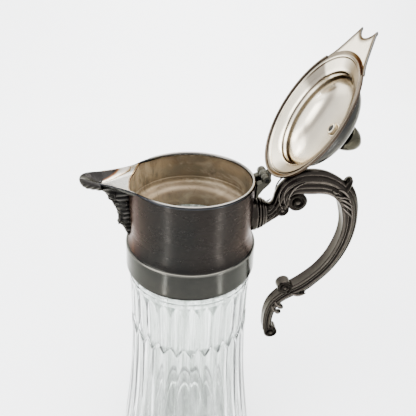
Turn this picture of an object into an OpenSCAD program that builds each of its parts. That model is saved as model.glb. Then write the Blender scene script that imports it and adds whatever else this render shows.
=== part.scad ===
// Claret jug: pressed glass body, plated collar with a pouring lip,
// a scrolled handle and a hinged domed lid, drawn with the lid thrown back.
// Origin: centre of the base. +Z up, the lip points to -X, the handle to +X.

/* [Jug] */
// Height of the lip's root and the lid's seat above the table
rim_h = 256; // [248:1:264]
// Outer radius of the rim bead
rim_r = 41; // [40.8:0.1:41.2]
// Height of the metal collar, rim to lower edge
collar_h = 64; // [63:0.5:66]

/* [Glass] */
// Radius of the glass where it is widest, at the foot
foot_r = 56.5; // [55:0.5:58]
// Number of flutes round the glass
flutes = 28; // [24:2:32]
// Depth of a flute
flute_d = 1.0; // [0.6:0.1:1.2]
// Height of the hollow's floor above the table
floor_t = 11; // [9:1:14]

/* [Lid] */
// Angle of the lid as drawn, 0 is shut
lid_open = 119; // [105:1:119]
// Outer radius of the lid's flange
lid_r = 43.1; // [42.9:0.1:43.3]
// Half width of the lid's nose at its two points
nose_w = 9.4; // [9:0.2:9.8]

/* [Hinge] */
// Diameter of the hinge pin
pin_d = 2; // [1.6:0.1:2.2]
// Radial play of the lid's knuckle on the pin
pin_gap = 0.05; // [0.03:0.01:0.08]
// Outer radius of the knuckles
knuckle_r = 3; // [2.8:0.1:3.1]

/* [Handle] */
// Width of the scroll handle
handle_w = 9.6; // [8.6:0.2:10.4]

/* [Finial] */
// Diameter of the stud that holds the finial
stud_d = 4; // [3:0.5:4]

/* [Hidden] */
$fn = 96;
eps = 0.01;
wall = 0.9;                       // sheet of the collar
tube_o = rim_r - 0.2;             // collar, outside
tube_i = tube_o - wall;           // collar, inside
bead_z = -0.15;                   // middle of the rim bead
tube_top = -1;                    // upper edge of the collar's sheet
hx = 47.2;                        // hinge axis, from the jug's axis
hz = 0.7;                         // hinge axis, above the rim
hinge_half = 8.8;                 // half length of the hinge
mid_half = 3.2;                   // half width of the gap for the lid's knuckle
boss_z = -27.5;                   // handle boss, below the rim

silver = [0.45, 0.44, 0.41];
bright = [0.82, 0.79, 0.72];
dark = [0.25, 0.25, 0.24];

// ---- helpers ----
module at_rim() translate([0, 0, rim_h]) children();
module open_lid() translate([hx, 0, rim_h + hz]) rotate([0, lid_open, 0]) translate([-hx, 0, -hz]) children();
// a rod along Y, between y0 and y1, at x, z
module rod(x, z, r, y0, y1) translate([x, y0, z]) rotate([-90, 0, 0]) cylinder(r = r, h = y1 - y0);

// smooth curve through a list of points, n steps a span
function crp(a, b, c, d, t) = 0.5 * ((2 * b) + (c - a) * t + (2 * a - 5 * b + 4 * c - d) * t * t + (3 * b - a - 3 * c + d) * t * t * t);
function smooth(p, n) = [for (i = [0:len(p) - 2]) for (k = [0:n - 1])
    crp(p[max(i - 1, 0)], p[i], p[i + 1], p[min(i + 2, len(p) - 1)], k / n), p[len(p) - 1]];
// a tube of rings, each the same number of points, closed at both ends;
// back is for rings that run clockwise about the way the tube goes
module rings(s, back = false) {
    m = len(s[0]); n = len(s);
    polyhedron(points = [for (r = s) for (k = [0:m - 1]) r[back ? m - 1 - k : k]],
        faces = concat([[for (k = [0:m - 1]) k]],
            [for (i = [0:n - 2]) for (k = [0:m - 1]) each
                [[i * m + k, (i + 1) * m + k, i * m + (k + 1) % m],
                 [i * m + (k + 1) % m, (i + 1) * m + k, (i + 1) * m + (k + 1) % m]]],
            [[for (k = [m - 1:-1:0]) (n - 1) * m + k]]), convexity = 6);
}

// ---- glass ----
body_top = rim_h - collar_h;                  // lower edge of the collar
function gz(k) = k * body_top / 192;          // heights on the body follow the jug's height
// outer radius of the glass against height
body_tab = [[0, foot_r - 1.5], [6, foot_r], [14, foot_r - 0.5], [30, 54.2], [48, 51.6], [66, 49.3], [84, 47.3],
            [102, 45.8], [120, 44.6], [138, 43.9], [156, 43.6], [172, 43.4], [184, 43.3]];
function body_r(k) = lookup(k, body_tab);
// each level: height, depth of the upper flutes, depth of the lower flutes
levels = [[8, 0, 0], [13, 0, 1], [36, 0, 1], [66, 0, 1], [102, 0, 1], [137, 0, 1], [143, 1, 0], [173, 1, 0], [183, 0, 0]];
module fluted() rings([for (v = levels) [for (j = [0:flutes * 4 - 1])
    let (a = j * 90 / flutes, u = (j % 4 == 0) ? 0 : (j % 4 == 2) ? 1 : 0.75,
         r = body_r(v[0]) - flute_d * (v[1] * ((j % 4 == 0) ? 1 : (j % 4 == 2) ? 0 : 0.75)
                                     + v[2] * ((j % 4 == 2) ? 1 : (j % 4 == 0) ? 0 : 0.75)))
    [r * cos(a - 3), r * sin(a - 3), gz(v[0])]]]);
neck_o = 37.4;
neck_i = 32;
module glass_body() color([0.80, 0.86, 0.84], 0.6) difference() {
    union() {
        fluted();
        rotate_extrude() polygon([[0, 0], [foot_r - 3, 0], [foot_r - 1, 1], [foot_r, 3.5], [foot_r, 6],
            [foot_r - 0.6, gz(9.5)], [0, gz(9.5)]]);
        rotate_extrude() polygon(concat([[0, gz(182)], [43.3, gz(182)]],
            smooth([[43.3, gz(184)], [43.0, gz(187.5)], [42.0, gz(190)], [40.4, gz(191.2)]], 4),
            [[neck_o, gz(191.6)], [neck_o, rim_h - 31], [neck_o - 1.6, rim_h - 29.4], [0, rim_h - 29.4]]));
    }
    // the hollow
    rotate_extrude() polygon(concat([[0, floor_t], [foot_r - 14, floor_t], [foot_r - 9, floor_t + 1.5], [foot_r - 7, floor_t + 5]],
        smooth([[foot_r - 6.6, floor_t + 9], [48, gz(34)], [44.6, gz(58)], [41.6, gz(84)], [39.4, gz(110)],
                [38.2, gz(136)], [37.8, gz(160)], [37.4, gz(176)], [35.6, gz(188)], [neck_i, gz(198)]], 4),
        [[neck_i, rim_h - 30.6], [neck_i + 1.4, rim_h - 29.4 + eps], [neck_i + 1.4, rim_h - 20], [0, rim_h - 20]]));
    // the ground hollow under the foot
    rotate_extrude() polygon([[0, -1], [foot_r - 16, -1], [foot_r - 16, 0], [foot_r - 18, 1.6], [0, 2.4]]);
}

// bedding plaster between the glass neck and the metal
module cement_ring() color([0.88, 0.86, 0.80]) at_rim() rotate_extrude()
    polygon([[neck_o, -collar_h + 0.6], [tube_i, -collar_h + 0.6], [tube_i, -29.4], [neck_o - 1.6, -29.4], [neck_o, -31]]);

// ---- collar ----
module collar_shell() color(dark) at_rim() difference() {
    rotate_extrude() translate([tube_i, -collar_h]) square([wall, collar_h + tube_top]);
    trough(0, 8);
}
// band with a cove above it, a rounded ledge and a rolled lower edge
cove = [[tube_o + 2.2, -44.4], [tube_o + 1.6, -43.1], [tube_o + 0.9, -40.9], [tube_o + 0.4, -38.2], [tube_o, -35]];
// all within the cove, for fitting what is soldered over it
module cove_solid() rotate_extrude() polygon(concat([[0, -60], [tube_o + 2.2, -60]], cove, [[0, -35]]));
module base_band() color(dark) at_rim() rotate_extrude()
    polygon(concat([[tube_o, -collar_h - 0.4], [tube_o + 0.8, -collar_h - 1.1], [tube_o + 2.4, -collar_h - 1.4], [tube_o + 3.5, -collar_h - 0.7], [tube_o + 4.1, -collar_h + 0.6],
        [tube_o + 4.2, -collar_h + 2.0], [tube_o + 4.1, -collar_h + 4.4], [tube_o + 3.7, -50], [tube_o + 3.7, -46.4]],
        [for (a = [0:18:90]) [tube_o + 2.6 + 1.1 * cos(a), -46.0 + 1.1 * sin(a)]], cove));
module rim_wire() color(bright) at_rim() difference() {
    rotate_extrude() translate([rim_r - 1.25, bead_z]) circle(r = 1.25, $fn = 32);
    translate([0, 0, -collar_h]) cylinder(r = tube_o, h = collar_h + tube_top);
    trough(0, 8);
    translate([-80, -26.4, -10]) cube([49.5, 52.8, 20]);
}
// spun lining with the rounded ledge over the glass
module inner_sleeve() color(bright) at_rim() rotate_extrude()
    polygon(concat([[tube_i, -47.4 + 28], [tube_i, -21.4]],
        smooth([[tube_i - 0.5, -22.6], [37, -23.6], [35.4, -23.6], [33.6, -24.0], [32.0, -25.4], [31.4, -27.2], [31.4, -29.4]], 3),
        [[31.4, -37.5], [30.5, -37.5]],
        smooth([[30.5, -27.2], [31.2, -24.9], [33.2, -23.2], [35.4, -22.7], [37, -22.6], [38.4, -21.6], [39.1, -19.4]], 3)));

// ---- pouring lip ----
// half width at the lips, their height and the depth of the keel, against the distance from the jug's axis
sp_w = [[26, 31.4], [28, 29.4], [30, 27.6], [31, 26.3], [34, 22.9], [37, 20.0], [41, 17.0], [46, 14.1], [51, 11.7], [57, 9.3]];
sp_t = [[26, 0.4], [31, 0.5], [37, 0.55], [41, 0.7], [46, 0.9], [51, 1.1], [57, 1.3]];
sp_d = [[26, 5.2], [38, 5.2], [46, 5.5], [51, 5.5], [57, 5.4]];
// how far the section is from a V: 1 is a V, more is a flat floor between steep sides
sp_p = [[26, 9], [38, 9], [42, 7], [46, 4.4], [51, 2.3], [57, 1.25]];
sheet = 1.1;
// section of the lip at x, let in by ins and carried up above the lips
function sp_ring(x, ins, up) = let (w = lookup(x, sp_w) - ins, t = lookup(x, sp_t), d = lookup(x, sp_d) - 1.15 * ins, e = lookup(x, sp_p))
    concat([for (k = [-8:8]) let (u = sin(k * 90 / 8)) [-x, w * u, t - d * (1 - pow(abs(u), e))]],
        [[-x, w, t + up], [-x, -w, t + up]]);
module trough(ins, up, x0 = 26, x1 = 57, n = 16)
    rings([for (k = [0:n]) sp_ring(x0 + (x1 - x0) * k / n, ins, up)], back = true);
module spout_shell() color(silver) at_rim() difference() {
    trough(0, 0.05);
    trough(sheet, 4, 24, 57.5);
    translate([0, 0, -60]) cylinder(r = tube_i, h = 80);
}
// cast point of the lip: distance out, half width, top, underside
tip_st = [[57, 9.5, 1.4, -6.1], [58.5, 9.2, 1.5, -6.1], [61, 8.1, 1.8, -6.0], [64, 6.7, 2.2, -5.9], [66.5, 5.3, 2.4, -5.6], [68.6, 3.9, 2.2, -4.2], [69.9, 2.4, 1.6, -2.4], [70.5, 1.0, 0.9, -0.6]];
module spout_tip() color(dark) at_rim() difference() {
    rings([for (s = tip_st) [for (k = [0:11]) let (a = k * 30, c = cos(a), q = sin(a), m = (s[2] + s[3]) / 2, h = (s[2] - s[3]) / 2)
        [-s[0], s[1] * sign(c) * pow(abs(c), 0.8), q > 0 ? m + h * pow(q, 0.5) : m + h * q]]], back = true);
    // groove that carries the channel out over the point
    rings([for (g = [[56, 9.2, 3.6], [59, 7.6, 3.0], [62, 5.6, 1.9], [65, 3.4, 0.4], [67.5, 1.2, -1.2]]) [for (k = [-4:4]) [-g[0], g[1] * k / 4 * (abs(k) == 4 ? 1.5 : 1), abs(k) == 4 ? 6 : 1.9 - g[2] * (1.35 - abs(k) * 0.35)]]], back = true);
}
// cast leaf under the lip: height, distance out, half width
leaf_st = [[-0.6, 60.6, 7.4], [-5.4, 61.2, 7.2], [-8.4, 58, 7.6], [-12.4, 53.6, 7.2], [-16.4, 51.2, 6.4], [-21, 49.2, 5.4], [-26, 48.5, 4.4],
    [-29.6, 48.8, 3.8], [-32.4, 48.6, 3.2], [-34.2, 46.6, 2.8], [-38, 44.4, 2.2], [-42.6, 43.2, 1.4]];
module spout_leaf() color(dark) at_rim() difference() {
    rings([for (s = leaf_st) concat([for (k = [0:8]) let (a = -90 + k * 22.5) [-(s[1] - 3) - 3 * cos(a), -s[2] * sin(a), s[0]]],
        [[-38, -s[2], s[0]], [-38, s[2], s[0]]])], back = true);
    trough(0, 8, 26, 60);
    cove_solid();
    translate([-77, -15, -6.2]) cube([20, 30, 12]);
    translate([0, 0, -60]) cylinder(r = tube_o, h = 80);
}

// ---- hinge ----
module hinge_bracket() color(dark) at_rim() difference() {
    union() {
        for (s = [-1, 1]) {
            rod(hx, hz, knuckle_r, s > 0 ? mid_half : -hinge_half, s > 0 ? hinge_half : -mid_half);
            // cheek from the knuckle down to the collar
            translate([0, s > 0 ? mid_half : -hinge_half, 0]) rotate([90, 0, 0]) mirror([0, 0, 1])
                linear_extrude(hinge_half - mid_half) polygon([[38, -2.6], [44.2, -1.2], [46.4, 0], [50.0, 0], [49.2, -1.8], [46.2, -3.6], [38, -13]]);
        }
        // web behind the lid's knuckle, which stops the lid
        translate([0, mid_half, 0]) rotate([90, 0, 0])
            linear_extrude(2 * mid_half) polygon([[38, -6.4], [44, -4.6], [47.2, -4.6], [50.2, -0.92], [51.6, -0.92], [51.4, -2.6], [46.6, -6.4], [38, -13]]);
    }
    rod(hx, hz, pin_d / 2, -hinge_half - 1, hinge_half + 1);
    rod(hx, hz, knuckle_r + 0.35, -mid_half, mid_half);
    translate([0, 0, -60]) cylinder(r = tube_o, h = 80);
    rotate_extrude() translate([rim_r - 1.25, bead_z]) circle(r = 1.26, $fn = 32);
}
module hinge_pin() color(bright) at_rim() rod(hx, hz, pin_d / 2, -hinge_half - 0.2, hinge_half + 0.2);
// the lid's knuckle and its strap, drawn shut and then swung open
module hinge_leaf() color(dark) open_lid() difference() {
    union() {
        rod(hx, hz, knuckle_r, -mid_half + 0.2, mid_half - 0.2);
        // arm from the knuckle to the strap
        translate([0, mid_half - 0.2, 0]) rotate([90, 0, 0])
            linear_extrude(2 * mid_half - 0.4) polygon([[hx, hz + knuckle_r], [hx - 2.6, hz + knuckle_r + 0.2], [40.5, 4.6], [40.5, 2.9], [42.4, 2.3], [43.3, 1.4], [hx - 2.4, hz - 0.6]]);
        // strap on the flange
        translate([0, 5.2, 0]) rotate([90, 0, 0])
            linear_extrude(10.4) polygon([[42.2, 2.1], [42.2, 3.1], [38.4, 4.4], [35.6, 5.5], [35.2, 4.4]]);
        // heel that meets the web when the lid is back
        translate([0, mid_half - 0.2, 0]) rotate([90, 0, 0])
            linear_extrude(2 * mid_half - 0.4) polygon([for (p = [[0, 0], [2.8, 1.3], [4.3, 1.2], [4.5, -0.9], [4.2, -1.6], [2.6, -1.6]])
                let (c = cos(119), s = sin(119)) [hx + p[0] * c - p[1] * s, hz + p[0] * s + p[1] * c]]);
    }
    rod(hx, hz, pin_d / 2 + pin_gap, -hinge_half, hinge_half);
    lid_solid();
}

// ---- lid, drawn shut and then swung open ----
lid_out = [[lid_r - 0.7, 2.1], [38.6, 3.2], [34, 5.2], [32.0, 6.7], [31.6, 8.1], [30.9, 8.7], [30.8, 11], [29.5, 14.2], [27, 17.2], [22, 20.4], [14, 23], [6.8, 24.1]];
lid_in = [[6.6, 23.2], [13.8, 22.1], [21.6, 19.5], [26.3, 16.5], [28.7, 13.8], [29.9, 10.9], [30.0, 8.3], [30.8, 7.6], [31.2, 6.2], [33.6, 4.3], [38.5, 2.5], [38.7, 1.7], [39.3, 1.6], [39.6, 2.2], [lid_r - 0.7, 1.3]];
// the whole lid filled in, for cutting what lies on it
module lid_solid() {
    rotate_extrude() polygon(concat([[0, 0.5], [lid_r, 0.5], [lid_r, 1.6]], lid_out, [[0, 24.1]]));
}
nose_x = 56.6;
nose_side = [[lid_r * 0.8, lid_r * 0.6], [37.6, 22.5], [41, 19.6], [46, 16.1], [52, 12.2], [nose_x, nose_w]];
module nose_plan(in) difference() {
    // the sides sweep in from the flange to the two points
    polygon(concat([for (q = nose_side) [-q[0] + in * 0.62, q[1] - in * 0.78]], [for (k = [len(nose_side) - 1:-1:0]) let (q = nose_side[k]) [-q[0] + in * 0.62, in * 0.78 - q[1]]]));
    // crescent end
    translate([-62.3, 0]) circle(r = 11 + in);
}
module lid_shell() color(bright) open_lid() {
    difference() {
        union() {
            difference() {
                rotate_extrude() polygon(concat(lid_out, [[0, 24.1], [0, 23.2]], lid_in));
                // the flange is lifted clear of the lip
                difference() {
                    translate([0, 0, 0]) linear_extrude(2.0) nose_plan(1);
                    translate([0, 0, -1]) cylinder(r = 39.7, h = 8);
                }
            }
            // nose that covers the pouring lip, with turned down edges
            difference() {
                translate([0, 0, 2.0]) linear_extrude(1.0) nose_plan(0);
                translate([0, 0, -1]) cylinder(r = lid_r - 2.6, h = 8);
            }
            difference() {
                translate([0, 0, 1.6]) linear_extrude(0.9) nose_plan(0);
                translate([0, 0, 1]) linear_extrude(3) nose_plan(1);
                translate([0, 0, -1]) cylinder(r = lid_r, h = 8);
            }
        }
        translate([0, 0, 20]) cylinder(d = stud_d + 0.2, h = 8);
    }
}
// rolled edge soldered under the flange
module lid_ring() color(dark) open_lid() difference() {
    rotate_extrude() polygon([[41.35, 1.0], [42.0, 0.6], [lid_r - 0.4, 0.6], [lid_r, 0.8], [lid_r, 1.6], [lid_r - 0.2, 2.0], [lid_r - 0.7, 2.1], [lid_r - 0.7, 1.3], [41.35, 1.63]]);
    translate([0, 0, -1]) linear_extrude(8) nose_plan(-0.1);
}
fin_prof = [[0, 24.1], [6.2, 24.1], [6.4, 25], [5.6, 25.9], [4.0, 26.9], [3.7, 28.0], [4.8, 29.4], [7.2, 30.6], [8.3, 31.8], [8.5, 33.0], [8.3, 34.4], [7.8, 36.2],
            [7.0, 38.2], [5.9, 40.1], [4.5, 41.8], [2.8, 43.3], [1.2, 44.1], [0, 44.3]];
module finial() color(dark) open_lid() difference() {
    rotate_extrude() polygon(fin_prof);
    translate([0, 0, 20]) cylinder(d = stud_d, h = 12);
}
module finial_stud() color(bright) open_lid() translate([0, 0, 19.2]) cylinder(d = stud_d, h = 12.8);
module finial_washer() color(bright) open_lid() difference() {
    translate([0, 0, 22.2]) cylinder(r = 4.8, h = 1.0);
    translate([0, 0, 20]) cylinder(d = stud_d + 0.3, h = 8);
}
module finial_nut() color(bright) open_lid() difference() {
    translate([0, 0, 19.8]) cylinder(r = 3.7, h = 2.4, $fn = 6);
    translate([0, 0, 15]) cylinder(d = stud_d, h = 12);
}

// ---- handle ----
// reeded boss: distance from the jug's axis and radius
boss_prof = [[38, 0], [38, 12.3], [43.2, 12.3], [43.9, 11.9], [44.2, 11.1], [44.6, 11.4], [45.4, 11.5], [46.2, 11.2], [46.5, 10.2], [46.9, 10.5], [47.6, 10.5], [48.3, 10.1],
             [48.6, 9.1], [49.0, 9.3], [49.7, 9.2], [50.4, 8.6], [50.8, 7.6], [51, 7.2], [51, 0]];
module handle_boss() color(dark) at_rim() difference() {
    translate([0, 0, boss_z]) rotate([0, 90, 0]) rotate_extrude() polygon([for (p = boss_prof) [p[1], p[0]]]);
    cove_solid();
    translate([0, 0, -60]) cylinder(r = tube_o, h = 80);
}
// the scroll: outer edge x, z, then inner edge x, z, then half width as a share of the handle's
scroll = [[51, -19.0, 51, -34.4, 1.3], [53.2, -20.0, 55, -31.8, 1.05], [54.8, -18.4, 60.4, -28.4, 1], [55.9, -13.0, 65, -21.5, 1], [58.6, -6.2, 67.4, -14.6, 1],
    [65, 0.4, 70, -12.6, 1], [72.4, 3.9, 75, -12.2, 1], [80.6, 4.6, 81, -12.4, 1], [89.2, 3.2, 87.2, -12.4, 1], [97.3, -0.4, 93.4, -13.6, 1],
    [104.4, -5.1, 98.6, -16.8, 1.04], [110.6, -10.8, 102.6, -21.6, 1.1], [115.1, -18.4, 105, -27.6, 1.1], [117.9, -27.2, 107, -34.4, 1.04],
    [119.4, -37.4, 107.8, -41.8, 1], [119.2, -48.8, 107.2, -50, 1], [117, -60.4, 105.2, -58.6, 1], [112.8, -71.8, 101.8, -67.6, 1],
    [106.6, -82.4, 96.4, -76.4, 1], [98.8, -91.8, 90, -83.4, 1], [91, -99.6, 83.4, -89, 1], [82, -104.4, 77, -93.4, 0.96],
    [75.8, -108.2, 69.4, -99.4, 0.92], [71.4, -112.6, 62.8, -107.6, 0.88], [69.0, -119.4, 59.8, -117.4, 0.84], [67.8, -126.8, 59.4, -128, 0.8], [68.0, -133.2, 60.4, -137.2, 0.78], [69.6, -137.0, 63.6, -142.8, 0.76]];
function sc_ring(s, w) = [for (q = [[0, -0.55], [0, 0.55], [0.16, 0.98], [0.5, 1], [0.88, 1], [1, 0.86], [1, -0.86], [0.88, -1], [0.5, -1], [0.16, -0.98]])
    [s[0] + (s[2] - s[0]) * q[0], q[1] * s[4] * w, s[1] + (s[3] - s[1]) * q[0]]];
module handle() color(dark) at_rim() {
    w = handle_w / 2;
    rings([for (s = smooth(scroll, 2)) sc_ring(s, w)], back = true);
    // rolled ends of the scroll, each with its raised eye
    for (v = [[71.6, -18.2, 6.8, 1.1], [61.8, -24.2, 4.8, 1.04], [73.4, -93.8, 5.6, 1.06], [67.4, -141.6, 5.6, 0.9]]) {
        rod(v[0], v[1], v[2], -w * v[3], w * v[3]);
        rod(v[0], v[1], v[2] * 0.42, -w * v[3] - 0.8, w * v[3] + 0.8);
    }
    // thumb leaf
    hull() {
        rod(106.2, -9.0, 3.4, -w * 0.8, w * 0.8, $fn = 32);
        rod(107.2, -3.6, 2.0, -w * 0.6, w * 0.6, $fn = 32);
    }
}

glass_body();
cement_ring();
collar_shell();
base_band();
rim_wire();
inner_sleeve();
spout_shell();
spout_tip();
spout_leaf();
hinge_bracket();
hinge_pin();
hinge_leaf();
lid_shell();
lid_ring();
finial();
finial_stud();
finial_washer();
finial_nut();
handle_boss();
handle();
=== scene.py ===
import math

import bmesh
import bpy
import numpy as np
from mathutils import Matrix, Vector, noise


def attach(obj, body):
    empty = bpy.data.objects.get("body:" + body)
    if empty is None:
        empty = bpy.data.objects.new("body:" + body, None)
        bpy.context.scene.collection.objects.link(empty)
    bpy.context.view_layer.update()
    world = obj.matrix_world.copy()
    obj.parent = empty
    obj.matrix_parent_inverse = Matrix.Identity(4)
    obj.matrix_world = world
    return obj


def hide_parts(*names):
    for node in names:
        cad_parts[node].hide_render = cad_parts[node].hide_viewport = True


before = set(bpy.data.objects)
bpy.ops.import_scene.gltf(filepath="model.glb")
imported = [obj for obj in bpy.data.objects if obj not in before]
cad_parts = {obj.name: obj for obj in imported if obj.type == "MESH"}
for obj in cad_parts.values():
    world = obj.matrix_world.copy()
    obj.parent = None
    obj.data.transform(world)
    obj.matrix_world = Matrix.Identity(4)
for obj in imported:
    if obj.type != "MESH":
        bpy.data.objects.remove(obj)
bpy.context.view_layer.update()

# ---------------------------------------------------------------- numbers, in mm from the rim's centre
H = 256.0
RIM = 41.0
TO = 40.8
TI = 39.9
HX, HZ = 47.2, 0.7
OPEN = math.radians(119)
FLUTES = 28
PITCH = 2 * math.pi / FLUTES


def opened(x, y, z):
    """A point of the shut lid, swung open."""
    c, s = math.cos(OPEN), math.sin(OPEN)
    dx, dz = x - HX, z - HZ
    return HX + dx * c + dz * s, y, HZ - dx * s + dz * c


def lerp(a, b, t):
    return a + (b - a) * t


def clamp(v, a=0.0, b=1.0):
    return a if v < a else b if v > b else v


def step(a, b, v):
    t = clamp((v - a) / (b - a))
    return t * t * (3 - 2 * t)


def look(tab, v):
    if v <= tab[0][0]:
        return tab[0][1]
    for (a, p), (b, q) in zip(tab, tab[1:]):
        if v <= b:
            return p + (q - p) * (v - a) / (b - a)
    return tab[-1][1]


def cr(pts, n):
    """A smooth curve through points of any dimension."""
    out = []
    m = len(pts)
    for i in range(m - 1):
        a, b, c, d = pts[max(i - 1, 0)], pts[i], pts[i + 1], pts[min(i + 2, m - 1)]
        for k in range(n):
            t = k / n
            out.append(
                tuple(
                    0.5 * (2 * q + (r - p) * t + (2 * p - 5 * q + 4 * r - s) * t * t + (3 * q - p - 3 * r + s) * t**3)
                    for p, q, r, s in zip(a, b, c, d)
                )
            )
    out.append(tuple(pts[-1]))
    return out


def smooth_look(pts, n=12):
    return cr(pts, n)


# ---------------------------------------------------------------- materials
def nodes_of(name):
    m = bpy.data.materials.new(name)
    m.use_nodes = True
    t = m.node_tree
    t.nodes.clear()
    out = t.nodes.new("ShaderNodeOutputMaterial")
    b = t.nodes.new("ShaderNodeBsdfPrincipled")
    t.links.new(b.outputs[0], out.inputs[0])
    return m, t, b


def coords(t, scale=(1, 1, 1), loc=(0, 0, 0)):
    c = t.nodes.new("ShaderNodeTexCoord")
    m = t.nodes.new("ShaderNodeMapping")
    m.inputs["Scale"].default_value = scale
    m.inputs["Location"].default_value = loc
    t.links.new(c.outputs["Object"], m.inputs[0])
    return m.outputs[0]


def noise_node(t, scale, detail=4, rough=0.55, stretch=(1, 1, 1), distortion=0.0, loc=(0, 0, 0)):
    n = t.nodes.new("ShaderNodeTexNoise")
    n.inputs["Scale"].default_value = scale
    n.inputs["Detail"].default_value = detail
    n.inputs["Roughness"].default_value = rough
    n.inputs["Distortion"].default_value = distortion
    t.links.new(coords(t, stretch, loc), n.inputs["Vector"])
    return n.outputs["Fac"]


def ramp(t, fac, stops):
    r = t.nodes.new("ShaderNodeValToRGB")
    e = r.color_ramp.elements
    while len(e) > 1:
        e.remove(e[-1])
    e[0].position, e[0].color = stops[0][0], (*stops[0][1], 1)
    for p, c in stops[1:]:
        x = e.new(p)
        x.color = (*c, 1)
    t.links.new(fac, r.inputs[0])
    return r.outputs[0]


def grey(v):
    return (v, v, v)


def mix(t, fac, a, b, mode="MIX"):
    m = t.nodes.new("ShaderNodeMix")
    m.data_type = "RGBA"
    m.blend_type = mode
    for sock, v in ((m.inputs[0], fac), (m.inputs[6], a), (m.inputs[7], b)):
        if isinstance(v, (int, float)):
            sock.default_value = v
        elif isinstance(v, tuple):
            sock.default_value = (*v, 1)
        else:
            t.links.new(v, sock)
    return m.outputs[2]


def maths(t, op, a, b=None):
    m = t.nodes.new("ShaderNodeMath")
    m.operation = op
    for sock, v in ((m.inputs[0], a), (m.inputs[1], b)):
        if v is None:
            continue
        if isinstance(v, (int, float)):
            sock.default_value = v
        else:
            t.links.new(v, sock)
    return m.outputs[0]


def bumped(t, b, heights):
    prev = None
    for h, strength, dist in heights:
        k = t.nodes.new("ShaderNodeBump")
        k.inputs["Strength"].default_value = strength
        k.inputs["Distance"].default_value = dist
        t.links.new(h, k.inputs["Height"])
        if prev is not None:
            t.links.new(prev, k.inputs["Normal"])
        prev = k.outputs[0]
    t.links.new(prev, b.inputs["Normal"])


def attr(t, name):
    a = t.nodes.new("ShaderNodeAttribute")
    a.attribute_name = name
    return a.outputs["Fac"]


def sep_xyz(t):
    c = t.nodes.new("ShaderNodeTexCoord")
    s = t.nodes.new("ShaderNodeSeparateXYZ")
    t.links.new(c.outputs["Object"], s.inputs[0])
    return s.outputs


def mat_sheet_dark():
    """Tarnished plate of the collar: near black brown, with a violet brown field and an orange streak beside the lip;
    the near black is partly tarnish and partly a painted dark reflection of the room in front.
    """
    m, t, b = nodes_of("plate_dark")
    big = noise_node(t, 26, 3, 0.5, (1, 1, 0.35))
    col = ramp(t, big, [(0.28, (0.021, 0.019, 0.017)), (0.48, (0.030, 0.027, 0.024)), (0.62, (0.026, 0.026, 0.024)), (0.8, (0.042, 0.035, 0.030))])
    x, y, z = sep_xyz(t)
    side = maths(t, "ADD", maths(t, "MULTIPLY", x, -24.5), maths(t, "MULTIPLY", noise_node(t, 60, 4, 0.6, (1, 1, 0.25)), 0.035))
    film = ramp(t, side, [(0.855, (0.034, 0.026, 0.026)), (0.91, (0.040, 0.030, 0.029)), (0.945, (0.048, 0.032, 0.029)), (0.960, (0.078, 0.044, 0.030)), (0.990, (0.108, 0.058, 0.038)), (1.008, (0.060, 0.042, 0.036))])
    near = ramp(t, side, [(0.850, grey(0)), (0.862, grey(0.85)), (1.0, grey(1))])
    low = ramp(t, maths(t, "MULTIPLY", maths(t, "SUBTRACT", z, 0.2), 20.0), [(0.10, grey(0.75)), (0.55, grey(1.0))])
    col = mix(t, maths(t, "MULTIPLY", near, low), col, film)
    right = ramp(t, maths(t, "MULTIPLY", x, 24.5), [(0.80, grey(0)), (0.98, grey(0.55))])
    col = mix(t, right, col, (0.024, 0.018, 0.020))
    fleck = ramp(t, noise_node(t, 420, 2, 0.7), [(0.66, grey(0)), (0.74, grey(1))])
    col = mix(t, maths(t, "MULTIPLY", fleck, 0.14), col, (0.16, 0.14, 0.12))
    # darken all over: partly tarnish, partly painted dark reflection
    col = mix(t, 1.0, col, (0.44, 0.43, 0.43), "MULTIPLY")
    t.links.new(col, b.inputs["Base Color"])
    b.inputs["Metallic"].default_value = 1.0
    b.inputs["Specular Tint"].default_value = (0.66, 0.61, 0.58, 1)
    r = ramp(t, noise_node(t, 70, 5, 0.65, (1, 1, 3)), [(0.3, grey(0.22)), (0.7, grey(0.36))])
    t.links.new(r, b.inputs["Roughness"])
    bumped(t, b, [(noise_node(t, 90, 3, 0.6, (1, 1, 26)), 0.05, 0.0004), (noise_node(t, 34, 2, 0.5), 0.10, 0.0016)])
    return m


def mat_band():
    """The band: cleaner than the tube, grey green, with fine turned lines; by the relief drawn on the mesh a painted
    highlight makes the ledge bright and painted shade makes the rolled edge black.
    """
    m, t, b = nodes_of("plate_band")
    col = ramp(t, noise_node(t, 22, 4, 0.55, (1, 1, 1.6)), [(0.3, (0.031, 0.032, 0.029)), (0.5, (0.043, 0.043, 0.039)), (0.7, (0.053, 0.051, 0.045))])
    fleck = ramp(t, noise_node(t, 300, 3, 0.7, (1, 1, 5)), [(0.6, grey(0)), (0.75, grey(1))])
    col = mix(t, maths(t, "MULTIPLY", fleck, 0.18), col, (0.16, 0.145, 0.12))
    painted_light_and_soil = attr(t, "relief")
    # painted highlight where the relief is high (the ledge), painted shade where it is low (the rolled edge and the
    # groove)
    col = mix(t, ramp(t, painted_light_and_soil, [(0.62, grey(0)), (0.95, grey(1))]), col, (0.24, 0.23, 0.20))
    col = mix(t, ramp(t, painted_light_and_soil, [(0.08, grey(1)), (0.40, grey(0))]), col, (0.011, 0.010, 0.009))
    col = mix(t, 1.0, col, (0.46, 0.46, 0.45), "MULTIPLY")
    t.links.new(col, b.inputs["Base Color"])
    b.inputs["Metallic"].default_value = 1.0
    b.inputs["Specular Tint"].default_value = (0.70, 0.70, 0.67, 1)
    r = ramp(t, noise_node(t, 60, 5, 0.65, (1, 1, 4)), [(0.3, grey(0.13)), (0.7, grey(0.23))])
    t.links.new(r, b.inputs["Roughness"])
    bumped(t, b, [(noise_node(t, 120, 3, 0.6, (1, 1, 30)), 0.06, 0.0004), (noise_node(t, 30, 2, 0.5), 0.08, 0.0015)])
    return m


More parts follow.
